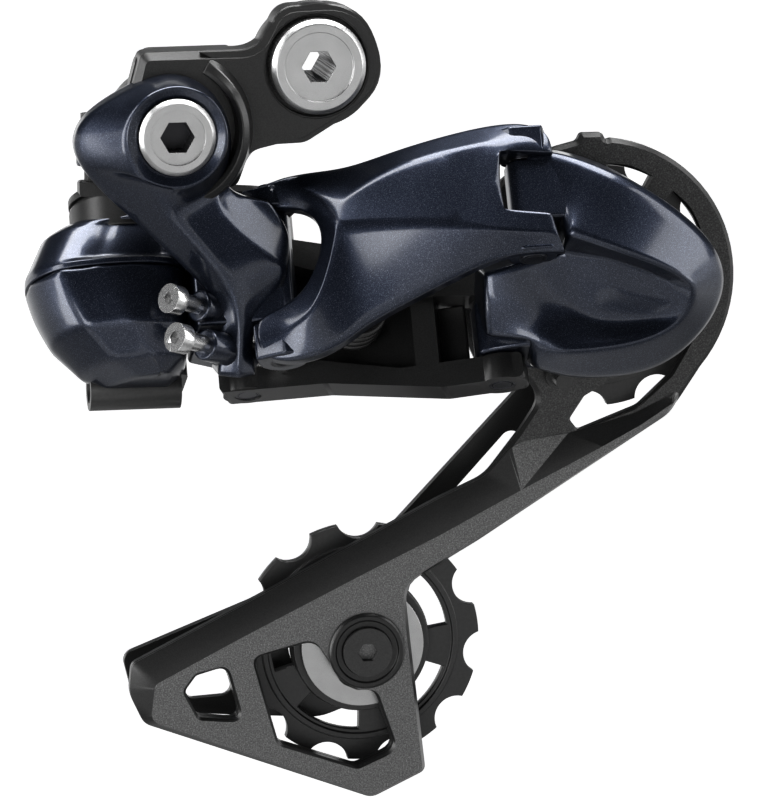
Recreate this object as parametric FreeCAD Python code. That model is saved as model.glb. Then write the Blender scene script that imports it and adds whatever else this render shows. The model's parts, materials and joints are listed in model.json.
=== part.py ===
import FreeCAD, Part
import math
import os

# Rear derailleur with an electric shift unit and a medium cage.
# +X forward on the bicycle, +Y inboard towards the wheel, +Z up, in millimetres.
# The origin is on the hanger bolt's axis, on the face that seats against the frame's hanger.

V3 = FreeCAD.Vector

# ---------------------------------------------------------------- driving dimensions
HANGER_THREAD_R = 5.0            # M10 thread
HANGER_THREAD_LEN = 8.0
B_AXLE = (-24.8, -10.3)          # knuckle axle, X and Z
CAGE_AXLE = (55.0, -36.0)        # cage pivot, X and Z
GUIDE = (52.5, -41.6)            # guide pulley axis, X and Z
TENSION = (10.2, -103.4)         # tension pulley axis, X and Z
PULLEY_Y = 11.0                  # chain plane
PULLEY_TEETH = 11
CHAIN_PITCH = 12.7
CHAIN_ROLLER_R = 3.9
OUTER_PLATE_Y = (4.2, 7.2)
INNER_PLATE_Y = (15.2, 17.0)
SLANT = math.radians(30.0)       # tilt of the link pins from vertical
LINK_ORIGIN = (-6.8, -12.0, -47.3)
LINK_LENGTH = 43.5
LINK_REST = math.radians(18.8)   # link angle outboard of straight ahead, at the smallest sprocket
INNER_PIN_OFFSET = (-4.0, -16.0) # inner pin from outer pin, along X and along the link normal
PIN_R = 1.6
RUN = 0.05                       # radial running clearance of pins and axles
GEAR_MODULE = 0.5
OUTPUT_TEETH = 32
REDUCTION_LARGE_TEETH = 30
REDUCTION_SMALL_TEETH = 10
PINION_TEETH = 10

# ---------------------------------------------------------------- directions
ALONG = V3(1, 0, 0)
PIN_UP = V3(0, math.sin(SLANT), math.cos(SLANT))
OUTWARD = V3(0, -math.cos(SLANT), math.sin(SLANT))
LINK_DIR = ALONG * math.cos(LINK_REST) + OUTWARD * math.sin(LINK_REST)
LINK_OUT = OUTWARD * math.cos(LINK_REST) - ALONG * math.sin(LINK_REST)
ORIGIN = V3(*LINK_ORIGIN)
Y_AXIS = V3(0, 1, 0)

OUTER_FAR = (LINK_LENGTH * math.cos(LINK_REST), LINK_LENGTH * math.sin(LINK_REST))
INNER_NEAR = INNER_PIN_OFFSET
INNER_FAR = (OUTER_FAR[0] + INNER_NEAR[0], OUTER_FAR[1] + INNER_NEAR[1])

# height ranges along the link pins
OUTER_NEAR_EARS = ((-2.0, 4.4), (24.6, 29.4))
OUTER_FAR_EARS = ((9.8, 16.0), (27.2, 33.0))
INNER_NEAR_EARS = ((-2.0, 3.0), (20.0, 24.4))
INNER_FAR_EARS = ((-6.6, -2.2), (8.0, 12.0))
EAR_GAP = 0.25


# ---------------------------------------------------------------- helpers
def knuckle_point(along, out, up):
    """Point in the fixed frame of the link pins."""
    return ORIGIN + ALONG * along + OUTWARD * out + PIN_UP * up


def link_point(start, along, out, up):
    """Point in the resting link's frame, from the pin at start = (along, out)."""
    return knuckle_point(start[0], start[1], 0) + LINK_DIR * along + LINK_OUT * out + PIN_UP * up


def rounded_face(points, place):
    """Flat face from (a, b, corner radius) points; place maps (a, b) to space."""
    count = len(points)
    corners = []
    for i in range(count):
        ax, ay, _ = points[i - 1]
        bx, by, radius = points[i]
        cx, cy, _ = points[(i + 1) % count]
        u = V3(ax - bx, ay - by, 0)
        v = V3(cx - bx, cy - by, 0)
        room = 0.49 * min(u.Length, v.Length)
        u.normalize()
        v.normalize()
        half = 0.5 * math.acos(max(-1.0, min(1.0, u.dot(v))))
        setback = min(radius / math.tan(half), room) if radius > 0 else 0.0
        corner = V3(bx, by, 0)
        if setback < 0.02:
            corners.append((corner, None, corner))
            continue
        real = setback * math.tan(half)
        middle = (u + v).normalize() * (real / math.sin(half) - real)
        corners.append((corner + u * setback, corner + middle, corner + v * setback))
    edges = []
    for i in range(count):
        start, middle, end = corners[i]
        if middle is not None:
            arc = Part.Arc(place(start.x, start.y), place(middle.x, middle.y), place(end.x, end.y))
            edges.append(arc.toShape())
        nxt = corners[(i + 1) % count][0]
        if (nxt - end).Length > 1e-3:
            edges.append(Part.LineSegment(place(end.x, end.y), place(nxt.x, nxt.y)).toShape())
    return Part.Face(Part.Wire(edges))


def plate(points, y0, y1):
    """Outline in X and Z, thickened from y0 to y1."""
    return rounded_face(points, lambda x, z: V3(x, y0, z)).extrude(V3(0, y1 - y0, 0))


def deck(points, up0, up1):
    """Outline across the pins, thickened along the pins."""
    face = rounded_face(points, lambda a, n: knuckle_point(a, n, up0))
    return face.extrude(PIN_UP * (up1 - up0))


def link_plate(start, points, out0, out1):
    """Outline along the link and up the pins, thickened outward."""
    face = rounded_face(points, lambda a, s: link_point(start, a, out0, s))
    return face.extrude(LINK_OUT * (out1 - out0))


def link_deck(start, points, up0, up1):
    """Outline across the pins in the link's frame, thickened up the pins."""
    face = rounded_face(points, lambda a, m: link_point(start, a, m, up0))
    return face.extrude(PIN_UP * (up1 - up0))


def disc(centre, radius, y0, y1):
    return Part.makeCylinder(radius, y1 - y0, V3(centre[0], y0, centre[1]), Y_AXIS)


def ring(centre, radius, bore, y0, y1):
    return disc(centre, radius, y0, y1).cut(disc(centre, bore, y0 - 1, y1 + 1))


def post(pin, radius, up0, up1):
    """Cylinder along the link pins at pin = (along, out)."""
    return Part.makeCylinder(radius, up1 - up0, knuckle_point(pin[0], pin[1], up0), PIN_UP)


def belt(first, first_r, second, second_r, up0, up1):
    """Hull of two circles across the pins, thickened along the pins; first_r is the larger."""
    heading = math.atan2(second[1] - first[1], second[0] - first[0])
    lean = math.acos((first_r - second_r) / math.hypot(second[0] - first[0], second[1] - first[1]))

    def at(centre, radius, angle):
        return knuckle_point(centre[0] + radius * math.cos(angle), centre[1] + radius * math.sin(angle), up0)
    a0 = at(first, first_r, heading + lean)
    a1 = at(first, first_r, heading + math.pi)
    a2 = at(first, first_r, heading - lean)
    b0 = at(second, second_r, heading - lean)
    b1 = at(second, second_r, heading)
    b2 = at(second, second_r, heading + lean)
    edges = [Part.Arc(a0, a1, a2).toShape(), Part.LineSegment(a2, b0).toShape(),
             Part.Arc(b0, b1, b2).toShape(), Part.LineSegment(b2, a0).toShape()]
    return Part.Face(Part.Wire(edges)).extrude(PIN_UP * (up1 - up0))


def rod(start, end, radius):
    along = end - start
    return Part.makeCylinder(radius, along.Length, start, along)


def hexagon(start, direction, across_flats, depth):
    """Hexagonal prism along direction."""
    radius = across_flats / math.sqrt(3)
    side = direction.cross(V3(0, 0, 1))
    if side.Length < 0.1:
        side = V3(1, 0, 0)
    side.normalize()
    other = direction.cross(side)
    corners = []
    for i in range(7):
        turn = math.radians(60 * i)
        corners.append(start + side * radius * math.cos(turn) + other * radius * math.sin(turn))
    return Part.Face(Part.makePolygon(corners)).extrude(direction * depth)


def fuse(shapes):
    whole = shapes[0]
    for shape in shapes[1:]:
        whole = whole.fuse(shape)
    return whole.removeSplitter()


def cut_all(shape, tools):
    for tool in tools:
        shape = shape.cut(tool)
    return shape


def group(shapes):
    return Part.makeCompound(shapes)


def coil(base, axis, radius, wire, pitch, turns):
    """Helical spring as one swept solid."""
    helix = Part.makeHelix(pitch, pitch * turns, radius)
    section = Part.Wire([Part.makeCircle(wire, V3(radius, 0, 0), V3(0, 1, pitch / (2 * math.pi * radius)))])
    spring = Part.Wire(helix.Edges).makePipeShell([section], True, True)
    turn = FreeCAD.Rotation(V3(0, 0, 1), axis)
    spring.Placement = FreeCAD.Placement(base, turn)
    return spring


def save(name, shape):
    shape.exportStep("parts/" + name + ".step")


# ---------------------------------------------------------------- gears
def gear(centre, teeth, up0, up1, bore, phase):
    """Spur gear with trapezoid teeth close to an involute, along the link pins."""
    pitch_r = teeth * GEAR_MODULE / 2
    root_r = pitch_r - 1.25 * GEAR_MODULE
    tip_r = pitch_r + 0.9 * GEAR_MODULE
    step = 2 * math.pi / teeth
    root_half = 0.300 * step
    pitch_half = 0.232 * step
    tip_half = 0.110 * step
    corners = []
    for i in range(teeth):
        middle = phase + i * step
        flank = ((root_r, -root_half), (pitch_r, -pitch_half), (tip_r, -tip_half),
                 (tip_r, tip_half), (pitch_r, pitch_half), (root_r, root_half))
        for radius, turn in flank:
            angle = middle + turn
            corners.append(knuckle_point(centre[0] + radius * math.cos(angle),
                                         centre[1] + radius * math.sin(angle), up0))
    corners.append(corners[0])
    body = Part.Face(Part.makePolygon(corners)).extrude(PIN_UP * (up1 - up0))
    if bore > 0:
        body = body.cut(post(centre, bore, up0 - 1, up1 + 1))
    return body


OUTPUT_R = OUTPUT_TEETH * GEAR_MODULE / 2
LARGE_R = REDUCTION_LARGE_TEETH * GEAR_MODULE / 2
SMALL_R = REDUCTION_SMALL_TEETH * GEAR_MODULE / 2
MOTOR_PINION_R = PINION_TEETH * GEAR_MODULE / 2
TRAIN_DIR = math.radians(166.0)   # from the output gear to the reduction gear and on to the motor
REDUCTION = (INNER_NEAR[0] + (OUTPUT_R + SMALL_R) * math.cos(TRAIN_DIR),
             INNER_NEAR[1] + (OUTPUT_R + SMALL_R) * math.sin(TRAIN_DIR))
MOTOR = (REDUCTION[0] + (LARGE_R + MOTOR_PINION_R) * math.cos(TRAIN_DIR),
         REDUCTION[1] + (LARGE_R + MOTOR_PINION_R) * math.sin(TRAIN_DIR))
GEAR_DECK = (25.6, 31.2)          # inside height of the gear case
FIRST_STAGE = (28.8, 30.6)
SECOND_STAGE = (26.0, 28.4)


# ---------------------------------------------------------------- bracket
HANGER_BOSS_R = 10.3
HANGER_SHANK_R = 5.35
HANGER_RECESS_R = 8.7            # recess round the bolt head
RING_GROOVE_R = 4.3              # floor of the snap ring's groove
SNAP_RING_Y = (-3.3, -2.5)
SOCKET_KEY = 5.0                 # hexagon key size of both bolts
HEAD_SEAT_Y = -4.0
AXLE_SHANK_R = 4.8
AXLE_THREAD_R = 4.0
BRACKET_Y = (-6.5, 0.0)
AXLE_EAR_Y = (-3.0, 4.0)
AXLE_EAR_R = 9.4
STOP_TAB_Z = (-21.6, -19.2)       # tab that the knuckle stop screw rests on
STOP_SCREW = (-37.2, -1.2)        # X and Y of the knuckle stop screw


def bracket_link():
    arm = plate([(8, 10.2, 9), (-6, 9.8, 4), (-9.5, 2.7, 6), (-29.6, 2.5, 2.5), (-31.6, -5, 6),
                 (-24, -15, 3), (-14.9, -19.5, 3), (-11.0, -13.2, 5), (-2, -12.9, 4), (12.5, -4, 9)],
                *BRACKET_Y)
    boss = disc((0, 0), HANGER_BOSS_R, *BRACKET_Y)
    ear = disc(B_AXLE, AXLE_EAR_R, *AXLE_EAR_Y)
    neck = plate([(-30, 2.4, 2), (-13, 2.6, 1), (-12, -10, 2), (-20, -18, 2)], AXLE_EAR_Y[0], AXLE_EAR_Y[1])
    stop_tab = plate([(-39.6, STOP_TAB_Z[1], 0.6), (-33, STOP_TAB_Z[1], 1), (-30, -15, 0), (-22, -17, 0),
                      (-30, STOP_TAB_Z[0], 1), (-39.6, STOP_TAB_Z[0], 0.6)], AXLE_EAR_Y[0], 0.5)
    body = fuse([arm, boss, ear, neck, stop_tab])
    knuckle_recess = disc(B_AXLE, 13.9, BRACKET_Y[0] - 1, AXLE_EAR_Y[0])
    counterbore = disc((0, 0), HANGER_RECESS_R, BRACKET_Y[0] - 1, HEAD_SEAT_Y)
    bores = [disc((0, 0), HANGER_SHANK_R + RUN, -10, 1), disc(B_AXLE, AXLE_THREAD_R, -10, 10)]
    return cut_all(body, [knuckle_recess, counterbore] + bores)


def hanger_bolt():
    head = disc((0, 0), 8.0, -8.5, HEAD_SEAT_Y)
    rim = Part.makeCone(7.2, 8.0, 0.8, V3(0, -9.3, 0), Y_AXIS)
    shank = disc((0, 0), HANGER_SHANK_R, HEAD_SEAT_Y, 0)
    thread = disc((0, 0), HANGER_THREAD_R, 0, HANGER_THREAD_LEN - 0.8)
    tip_start = V3(0, HANGER_THREAD_LEN - 0.8, 0)
    tip = Part.makeCone(HANGER_THREAD_R, HANGER_THREAD_R - 0.8, 0.8, tip_start, Y_AXIS)
    bolt = fuse([head, rim, shank, thread, tip])
    dish = disc((0, 0), 5.8, -9.4, -8.7)
    return bolt.cut(dish).cut(hanger_bolt_groove()).cut(hexagon(V3(0, -9.4, 0), Y_AXIS, SOCKET_KEY, 20))


def hanger_snap_ring():
    """Open ring that keeps the bolt in the bracket."""
    whole = ring((0, 0), HANGER_SHANK_R, RING_GROOVE_R, *SNAP_RING_Y)
    gap = plate([(-1.2, -6, 0), (1.2, -6, 0), (1.2, 0, 0), (-1.2, 0, 0)], -10, 1)
    return whole.cut(gap)


def hanger_bolt_groove():
    return ring((0, 0), HANGER_SHANK_R + 0.25, RING_GROOVE_R, *SNAP_RING_Y)


def b_axle_bolt():
    head = disc(B_AXLE, 6.4, -15.6, -13.4)
    rim = Part.makeCone(5.7, 6.4, 0.7, V3(B_AXLE[0], -16.3, B_AXLE[1]), Y_AXIS)
    shank = disc(B_AXLE, AXLE_SHANK_R, -13.4, AXLE_EAR_Y[0])
    thread = disc(B_AXLE, AXLE_THREAD_R, AXLE_EAR_Y[0], AXLE_EAR_Y[1] + 1.2)
    dish = disc(B_AXLE, 4.6, -16.4, -15.6)
    socket = hexagon(V3(B_AXLE[0], -16.4, B_AXLE[1]), Y_AXIS, SOCKET_KEY, 6)
    return cut_all(fuse([head, rim, shank, thread]), [dish, socket])


# ---------------------------------------------------------------- knuckle
KNUCKLE_Y = (-13.2, -3.3)
AXLE_BORE_R = 5.6
STOP_R = 1.4                      # shank of the knuckle stop screw
LUG_R = 3.2
LIMIT_DIR = ALONG * 0.802 - OUTWARD * 0.598     # limit screws, from head to tip
LIMIT_R = 1.5
LOW_LIMIT = (-17.0, 4.5, 1.1)                   # head end of each limit screw, in the knuckle's frame
HIGH_LIMIT = (-17.5, 4.5, 8.0)


def lug_heights(ears):
    """The room between a link's two ears, less the side play."""
    return ears[0][1] + EAR_GAP, ears[1][0] - EAR_GAP


def limit_line(head, near, far, radius):
    start = knuckle_point(*head)
    return rod(start + LIMIT_DIR * near, start + LIMIT_DIR * far, radius)


def outer_sweep(up0, up1, keep):
    """Room that the outer link's near end needs as it swings inboard; keep is the lug radius to leave."""
    corners = [(-10, 1.4, 0), (-10, 10, 0), (10, 10, 0), (10, -10, 0), (-1, -10, 0), (-1, 1.4, 0)]
    quadrants = deck(corners, up0, up1)
    room = post((0, 0), 9.2, up0, up1).common(quadrants)
    if keep > 0:
        return room.cut(post((0, 0), keep, up0, up1))
    return room.fuse(post((0, 0), 4.8, up0, up1))


def b_knuckle():
    boss = disc(B_AXLE, 13.3, *KNUCKLE_Y)
    collar = disc(B_AXLE, 9.4, -15.2, KNUCKLE_Y[0])
    arm = plate([(-37.8, -8.5, 5), (-38.2, -15.5, 6), (-29.5, -26.5, 12), (-17.3, -39, 6), (-16.8, -50.6, 2),
                 (-11.0, -50.4, 2), (-11.6, -44, 2), (-9.2, -40.6, 2), (-9.0, -34.5, 3), (-19.4, -23.5, 4),
                 (-12.5, -9, 6), (-24, 0.5, 9)], -12.6, -3.3)
    low_web = plate([(-30, -25, 3), (-16, -38, 3), (-16.4, -50, 2), (-11.4, -50, 1), (-11.4, -43, 2),
                     (-10.5, -34, 3), (-19, -24, 3)], -4, 3.5)
    heights_a = lug_heights(OUTER_NEAR_EARS)
    heights_c = lug_heights(INNER_NEAR_EARS)
    lug_a = post((0, 0), LUG_R, *heights_a)
    web_a = deck([(-11, 1.0, 0), (0, 1.0, 0), (0, -LUG_R, 0), (-11, -6, 1)], *heights_a)
    lug_c = post(INNER_NEAR, LUG_R, *heights_c)
    web_c = deck([(-14, -1, 1), (-8, -2, 1), (-4 + LUG_R, -16, 0), (-4, -16 - LUG_R, 0), (-14, -14, 1)],
                 *heights_c)
    screw_boss = limit_line(LOW_LIMIT, 4.5, 15, 2.7)
    upper_screw_boss = limit_line(HIGH_LIMIT, 4.5, 15, 2.7)
    stop_lug = Part.makeCylinder(2.7, 5.5, V3(STOP_SCREW[0], STOP_SCREW[1], -16.5))
    stop_bridge = plate([(-39.5, -11, 1), (-35, -11, 0), (-35, -16.5, 0), (-39.5, -16.5, 1)], -5, -2.5)
    body = fuse([boss, collar, arm, low_web, lug_a, web_a, lug_c, web_c, screw_boss, upper_screw_boss,
                 stop_lug, stop_bridge])
    sweep = [outer_sweep(-8, OUTER_NEAR_EARS[0][1] + EAR_GAP - 0.05, 0),
             outer_sweep(heights_a[0] - 0.1, heights_a[1] + 0.1, LUG_R),
             outer_sweep(OUTER_NEAR_EARS[1][0] - EAR_GAP + 0.05, 36, 0),
             post(INNER_NEAR, 4.9, -14, INNER_NEAR_EARS[0][1] + EAR_GAP - 0.05),
             post(INNER_NEAR, 4.9, INNER_NEAR_EARS[1][0] - EAR_GAP + 0.05, 25.0)]
    bores = [disc(B_AXLE, AXLE_BORE_R, -20, 2), disc(B_AXLE, 6.8, -20, -13.3),
             disc(B_AXLE, 9.6, AXLE_EAR_Y[0] - 0.31, 9),
             post((0, 0), PIN_R, -8, 40), post(INNER_NEAR, PIN_R, -8, 40),
             limit_line(LOW_LIMIT, -6, 40, LIMIT_R + RUN), limit_line(HIGH_LIMIT, -6, 20, LIMIT_R + RUN),
             Part.makeCylinder(STOP_R + RUN, 20, V3(STOP_SCREW[0], STOP_SCREW[1], -20))]
    return cut_all(body, sweep + bores)


def b_axle_bush():
    flange = ring(B_AXLE, 8.8, AXLE_SHANK_R + RUN, AXLE_EAR_Y[0] - 0.25, AXLE_EAR_Y[0])
    sleeve = ring(B_AXLE, AXLE_BORE_R - RUN, AXLE_SHANK_R + RUN, KNUCKLE_Y[0], AXLE_EAR_Y[0] - 0.2)
    return flange.fuse(sleeve)


# ---------------------------------------------------------------- shift unit
HOUSING_SPLIT = (16.0, 16.5)      # lower shell's top and upper shell's bottom, with the gasket between
HOUSING_BOTTOM = 3.8
HOUSING_TOP = 27.0
GEAR_CASE = (25.0, 32.4)
WALL = 1.5
HOUSING_OUTLINE = [(-41.5, -8, 8), (-34, -0.8, 6), (-15, -0.8, 2), (-13.6, -22.5, 2), (-32, -24, 9),
                   (-41.5, -17, 7)]
HOUSING_HOLLOW = [(-40, -9, 7), (-33.4, -2.3, 5), (-16.5, -2.3, 1), (-15.1, -21, 1), (-31.5, -22.5, 8),
                  (-40, -16.4, 6)]
CASE_R = (10.2, 8.9)              # gear case around the output gear and around the motor
HOLLOW_R = (8.9, 7.6)
HOUSING_SCREWS = [(-36.8, -6.3), (-36.8, -17.6), (-17.8, -4.8)]
SCREW_TUBE_R = 2.2
SCREW_R = 0.9
TRAIN_PIN_R = 0.8                # motor shaft clearance and reduction pin
MOTOR_R = 5.9
SOCKET = (-17.0, 0.4)             # out and up of the plug socket's axis
SOCKET_R = 2.4
SOCKET_FLOOR = -24.0
CONTACT_ROOT = -22.4
CONTACT_R = 0.4
CONTACT_RECESS = 0.3             # how far the contacts sit behind the floor


def screw_tubes(up0, up1, radius):
    return [post(place, radius, up0, up1) for place in HOUSING_SCREWS]


def motor_housing_lower(knuckle):
    shell = deck(HOUSING_OUTLINE, HOUSING_BOTTOM, HOUSING_SPLIT[0])
    hollow = deck(HOUSING_HOLLOW, HOUSING_BOTTOM + WALL, HOUSING_SPLIT[0] + 1)
    shell = fuse([shell.cut(hollow)] + screw_tubes(HOUSING_BOTTOM, HOUSING_SPLIT[0], SCREW_TUBE_R))
    return cut_all(shell, screw_tubes(0, 40, SCREW_R) + [knuckle])


def housing_gasket(knuckle):
    band = deck(HOUSING_OUTLINE, *HOUSING_SPLIT).cut(deck(HOUSING_HOLLOW, 0, 40))
    return cut_all(band, screw_tubes(0, 40, SCREW_R) + [knuckle])


def motor_housing_upper(knuckle):
    shell = deck(HOUSING_OUTLINE, HOUSING_SPLIT[1], HOUSING_TOP)
    hollow = deck(HOUSING_HOLLOW, 0, HOUSING_TOP - WALL)
    shell = fuse([shell.cut(hollow)] + screw_tubes(HOUSING_SPLIT[1], 26, SCREW_TUBE_R))
    case = belt(INNER_NEAR, CASE_R[0], MOTOR, CASE_R[1], GEAR_CASE[0], GEAR_CASE[1] - 1.2)
    train_room = belt(INNER_NEAR, HOLLOW_R[0], MOTOR, HOLLOW_R[1], GEAR_DECK[0], GEAR_CASE[1])
    openings = [train_room, post(INNER_NEAR, 4.7, 20, 27), post(MOTOR, 2.9, 20, 27)]
    return cut_all(shell.fuse(case).removeSplitter(), openings + screw_tubes(0, 26, SCREW_R) + [knuckle])


def gear_cover():
    return belt(INNER_NEAR, CASE_R[0], MOTOR, CASE_R[1], GEAR_CASE[1] - 1.2, GEAR_CASE[1])


def housing_screws():
    screws = []
    for place in HOUSING_SCREWS:
        head = post(place, 1.6, HOUSING_BOTTOM - 1.0, HOUSING_BOTTOM)
        shank = post(place, SCREW_R, HOUSING_BOTTOM, 21)
        socket = hexagon(knuckle_point(place[0], place[1], HOUSING_BOTTOM - 1.1), PIN_UP, 1.5, 0.8)
        screws.append(head.fuse(shank).cut(socket))
    return group(screws)


def socket_rod(near, far, radius):
    return rod(knuckle_point(near, *SOCKET), knuckle_point(far, *SOCKET), radius)


def plug_socket():
    saddle = deck([(-29, -11.5, 1.5), (-14.5, -11.5, 1.5), (-14.5, -21.5, 1.5), (-29, -21.5, 1.5)], 0.6,
                  HOUSING_BOTTOM)
    barrel = socket_rod(-31.0, -15.5, 3.7)
    body = saddle.fuse(barrel).removeSplitter().cut(deck(HOUSING_OUTLINE, HOUSING_BOTTOM, 10))
    return cut_all(body, [socket_rod(-33, SOCKET_FLOOR, SOCKET_R)] + contact_rods(SOCKET_FLOOR - 1))


def contact_rods(mouth):
    """Two thin rods side by side behind the socket's floor; mouth is where they end along X."""
    rods = []
    for shift in (-1.0, 1.0):
        start = knuckle_point(CONTACT_ROOT, SOCKET[0] + shift, SOCKET[1])
        rods.append(rod(start, start - ALONG * (CONTACT_ROOT - mouth), CONTACT_R))
    return rods


def plug_contacts():
    return group(contact_rods(SOCKET_FLOOR + CONTACT_RECESS))


def circuit_board():
    return deck([(-39, -9.4, 0.5), (-37.8, -9.4, 0.3), (-37.8, -15.6, 0.3), (-39, -15.6, 0.5)], 6.5, 24)


def motor_can():
    can = post(MOTOR, MOTOR_R, HOUSING_BOTTOM + WALL + 0.3, 23.4)
    return can.cut(post(MOTOR, TRAIN_PIN_R, 12, 24))


def motor_end_cap():
    return post(MOTOR, 4.6, 23.4, GEAR_CASE[0]).cut(post(MOTOR, TRAIN_PIN_R, 20, 30))


def motor_pinion():
    shaft = post(MOTOR, 0.75, 12.3, 30.8)
    return gear(MOTOR, PINION_TEETH, FIRST_STAGE[0], FIRST_STAGE[1] + 0.1, 0, PINION_PHASE).fuse(shaft)


def reduction_gear():
    large = gear(REDUCTION, REDUCTION_LARGE_TEETH, *FIRST_STAGE, 0, 0.0)
    hub = post(REDUCTION, SMALL_R + 0.4, SECOND_STAGE[1], FIRST_STAGE[0])
    small = gear(REDUCTION, REDUCTION_SMALL_TEETH, *SECOND_STAGE, 0, 0.0)
    return fuse([large, hub, small]).cut(post(REDUCTION, TRAIN_PIN_R + RUN, 20, 40))


def reduction_pin():
    return post(REDUCTION, TRAIN_PIN_R, GEAR_DECK[0], GEAR_CASE[1] - 1.2)


def output_gear():
    wheel = gear(INNER_NEAR, OUTPUT_TEETH, *SECOND_STAGE, 0, OUTPUT_PHASE)
    sleeve = post(INNER_NEAR, 4.2, INNER_NEAR_EARS[1][1], SECOND_STAGE[0])
    return wheel.fuse(sleeve).cut(post(INNER_NEAR, PIN_R + RUN, 0, 40))


def mesh_phase(driver_teeth, driven_teeth, direction, driver_phase):
    """Phase that puts a gap of the driven gear on the driver's tooth, along direction."""
    driver_step = 2 * math.pi / driver_teeth
    driven_step = 2 * math.pi / driven_teeth
    ahead = ((direction - driver_phase) / driver_step) % 1.0
    return direction + math.pi + (ahead + 0.5) * driven_step


OUTPUT_PHASE = mesh_phase(REDUCTION_SMALL_TEETH, OUTPUT_TEETH, TRAIN_DIR + math.pi, 0.0)
PINION_PHASE = mesh_phase(REDUCTION_LARGE_TEETH, PINION_TEETH, TRAIN_DIR, 0.0)


# ---------------------------------------------------------------- adjusters
def cap_screw(head_shape, shank_shape, socket_start, direction, across_flats):
    return head_shape.fuse(shank_shape).cut(hexagon(socket_start, direction, across_flats, 1.6))


def limit_screw(place, tip):
    head = limit_line(place, -2.4, 0.0, 2.5)
    shank = limit_line(place, 0.0, tip, LIMIT_R)
    return cap_screw(head, shank, knuckle_point(*place) - LIMIT_DIR * 2.5, LIMIT_DIR, 2.0)


def stop_screw():
    top = -9.4
    head = Part.makeCylinder(1.9, 1.6, V3(STOP_SCREW[0], STOP_SCREW[1], top))
    tip = STOP_TAB_Z[1] + 0.1
    shank = Part.makeCylinder(STOP_R, top - tip, V3(STOP_SCREW[0], STOP_SCREW[1], tip))
    return cap_screw(head, shank, V3(STOP_SCREW[0], STOP_SCREW[1], top + 1.7), V3(0, 0, -1), 2.0)


# ---------------------------------------------------------------- links
SKIN = (3.6, 6.6)                 # outer link's skin, outward of the pins
EAR_R = 4.2
BUSH_R = 2.3
OPEN_PIVOT = 0.15                 # radial clearance at the pivot where the linkage is opened


def link_post(start, along, radius, up0, up1):
    base = link_point(start, along, 0, up0)
    return Part.makeCylinder(radius, up1 - up0, base, PIN_UP)


def outer_ear(along, side, ear):
    """Disc on the pin with a neck out to the skin; side is how far the neck runs back along the link."""
    disc_part = link_post((0, 0), along, EAR_R, *ear)
    neck = link_deck((0, 0), [(along - EAR_R, 0, 0), (along + EAR_R, 0, 0), (along + EAR_R, SKIN[1] - 0.5, 1),
                              (along + side, SKIN[1] - 0.5, 0), (along + side, SKIN[0] - 0.6, 0)], *ear)
    return disc_part.fuse(neck)


def outer_link():
    far = LINK_LENGTH
    outline = [(-3.7, 28.4, 2), (14, 29.2, 12), (27, 32.3, 12), (38, 33.4, 8), (46.6, 33.0, 2.5),
               (46.8, 27.2, 0.5), (39.2, 27.2, 1), (39.2, 16.1, 1), (46.8, 15.9, 0.5),
               (47.2, 9.9, 1.5), (41.5, 10.4, 3), (14, 1.0, 6), (3.5, -2.4, 3), (-3.7, -2.0, 2)]
    skin = link_plate((0, 0), outline, *SKIN)
    ears = [outer_ear(0, 6, OUTER_NEAR_EARS[0]), outer_ear(0, 6, OUTER_NEAR_EARS[1]),
            outer_ear(far, -8, OUTER_FAR_EARS[0]), outer_ear(far, -8, OUTER_FAR_EARS[1])]
    opening = [(-5, 5.4, 0), (4.6, 6.2, 2), (9.2, 18.4, 3), (3.2, 23.9, 1), (-5, 23.9, 0)]
    window = link_plate((0, 0), opening, 0, 9)
    body = cut_all(fuse([skin] + ears), [window])
    bores = [link_post((0, 0), 0, BUSH_R, -10, 40), link_post((0, 0), far, BUSH_R, -10, 40)]
    return cut_all(body, bores)


def link_bushes(start, along, ears):
    return group([link_post(start, along, BUSH_R, *ear).cut(link_post(start, along, PIN_R + RUN, -20, 50))
                  for ear in ears])


def outer_link_bushes():
    near = link_bushes((0, 0), 0, OUTER_NEAR_EARS).Solids
    far = link_bushes((0, 0), LINK_LENGTH, OUTER_FAR_EARS).Solids
    return group(near + far)


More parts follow.
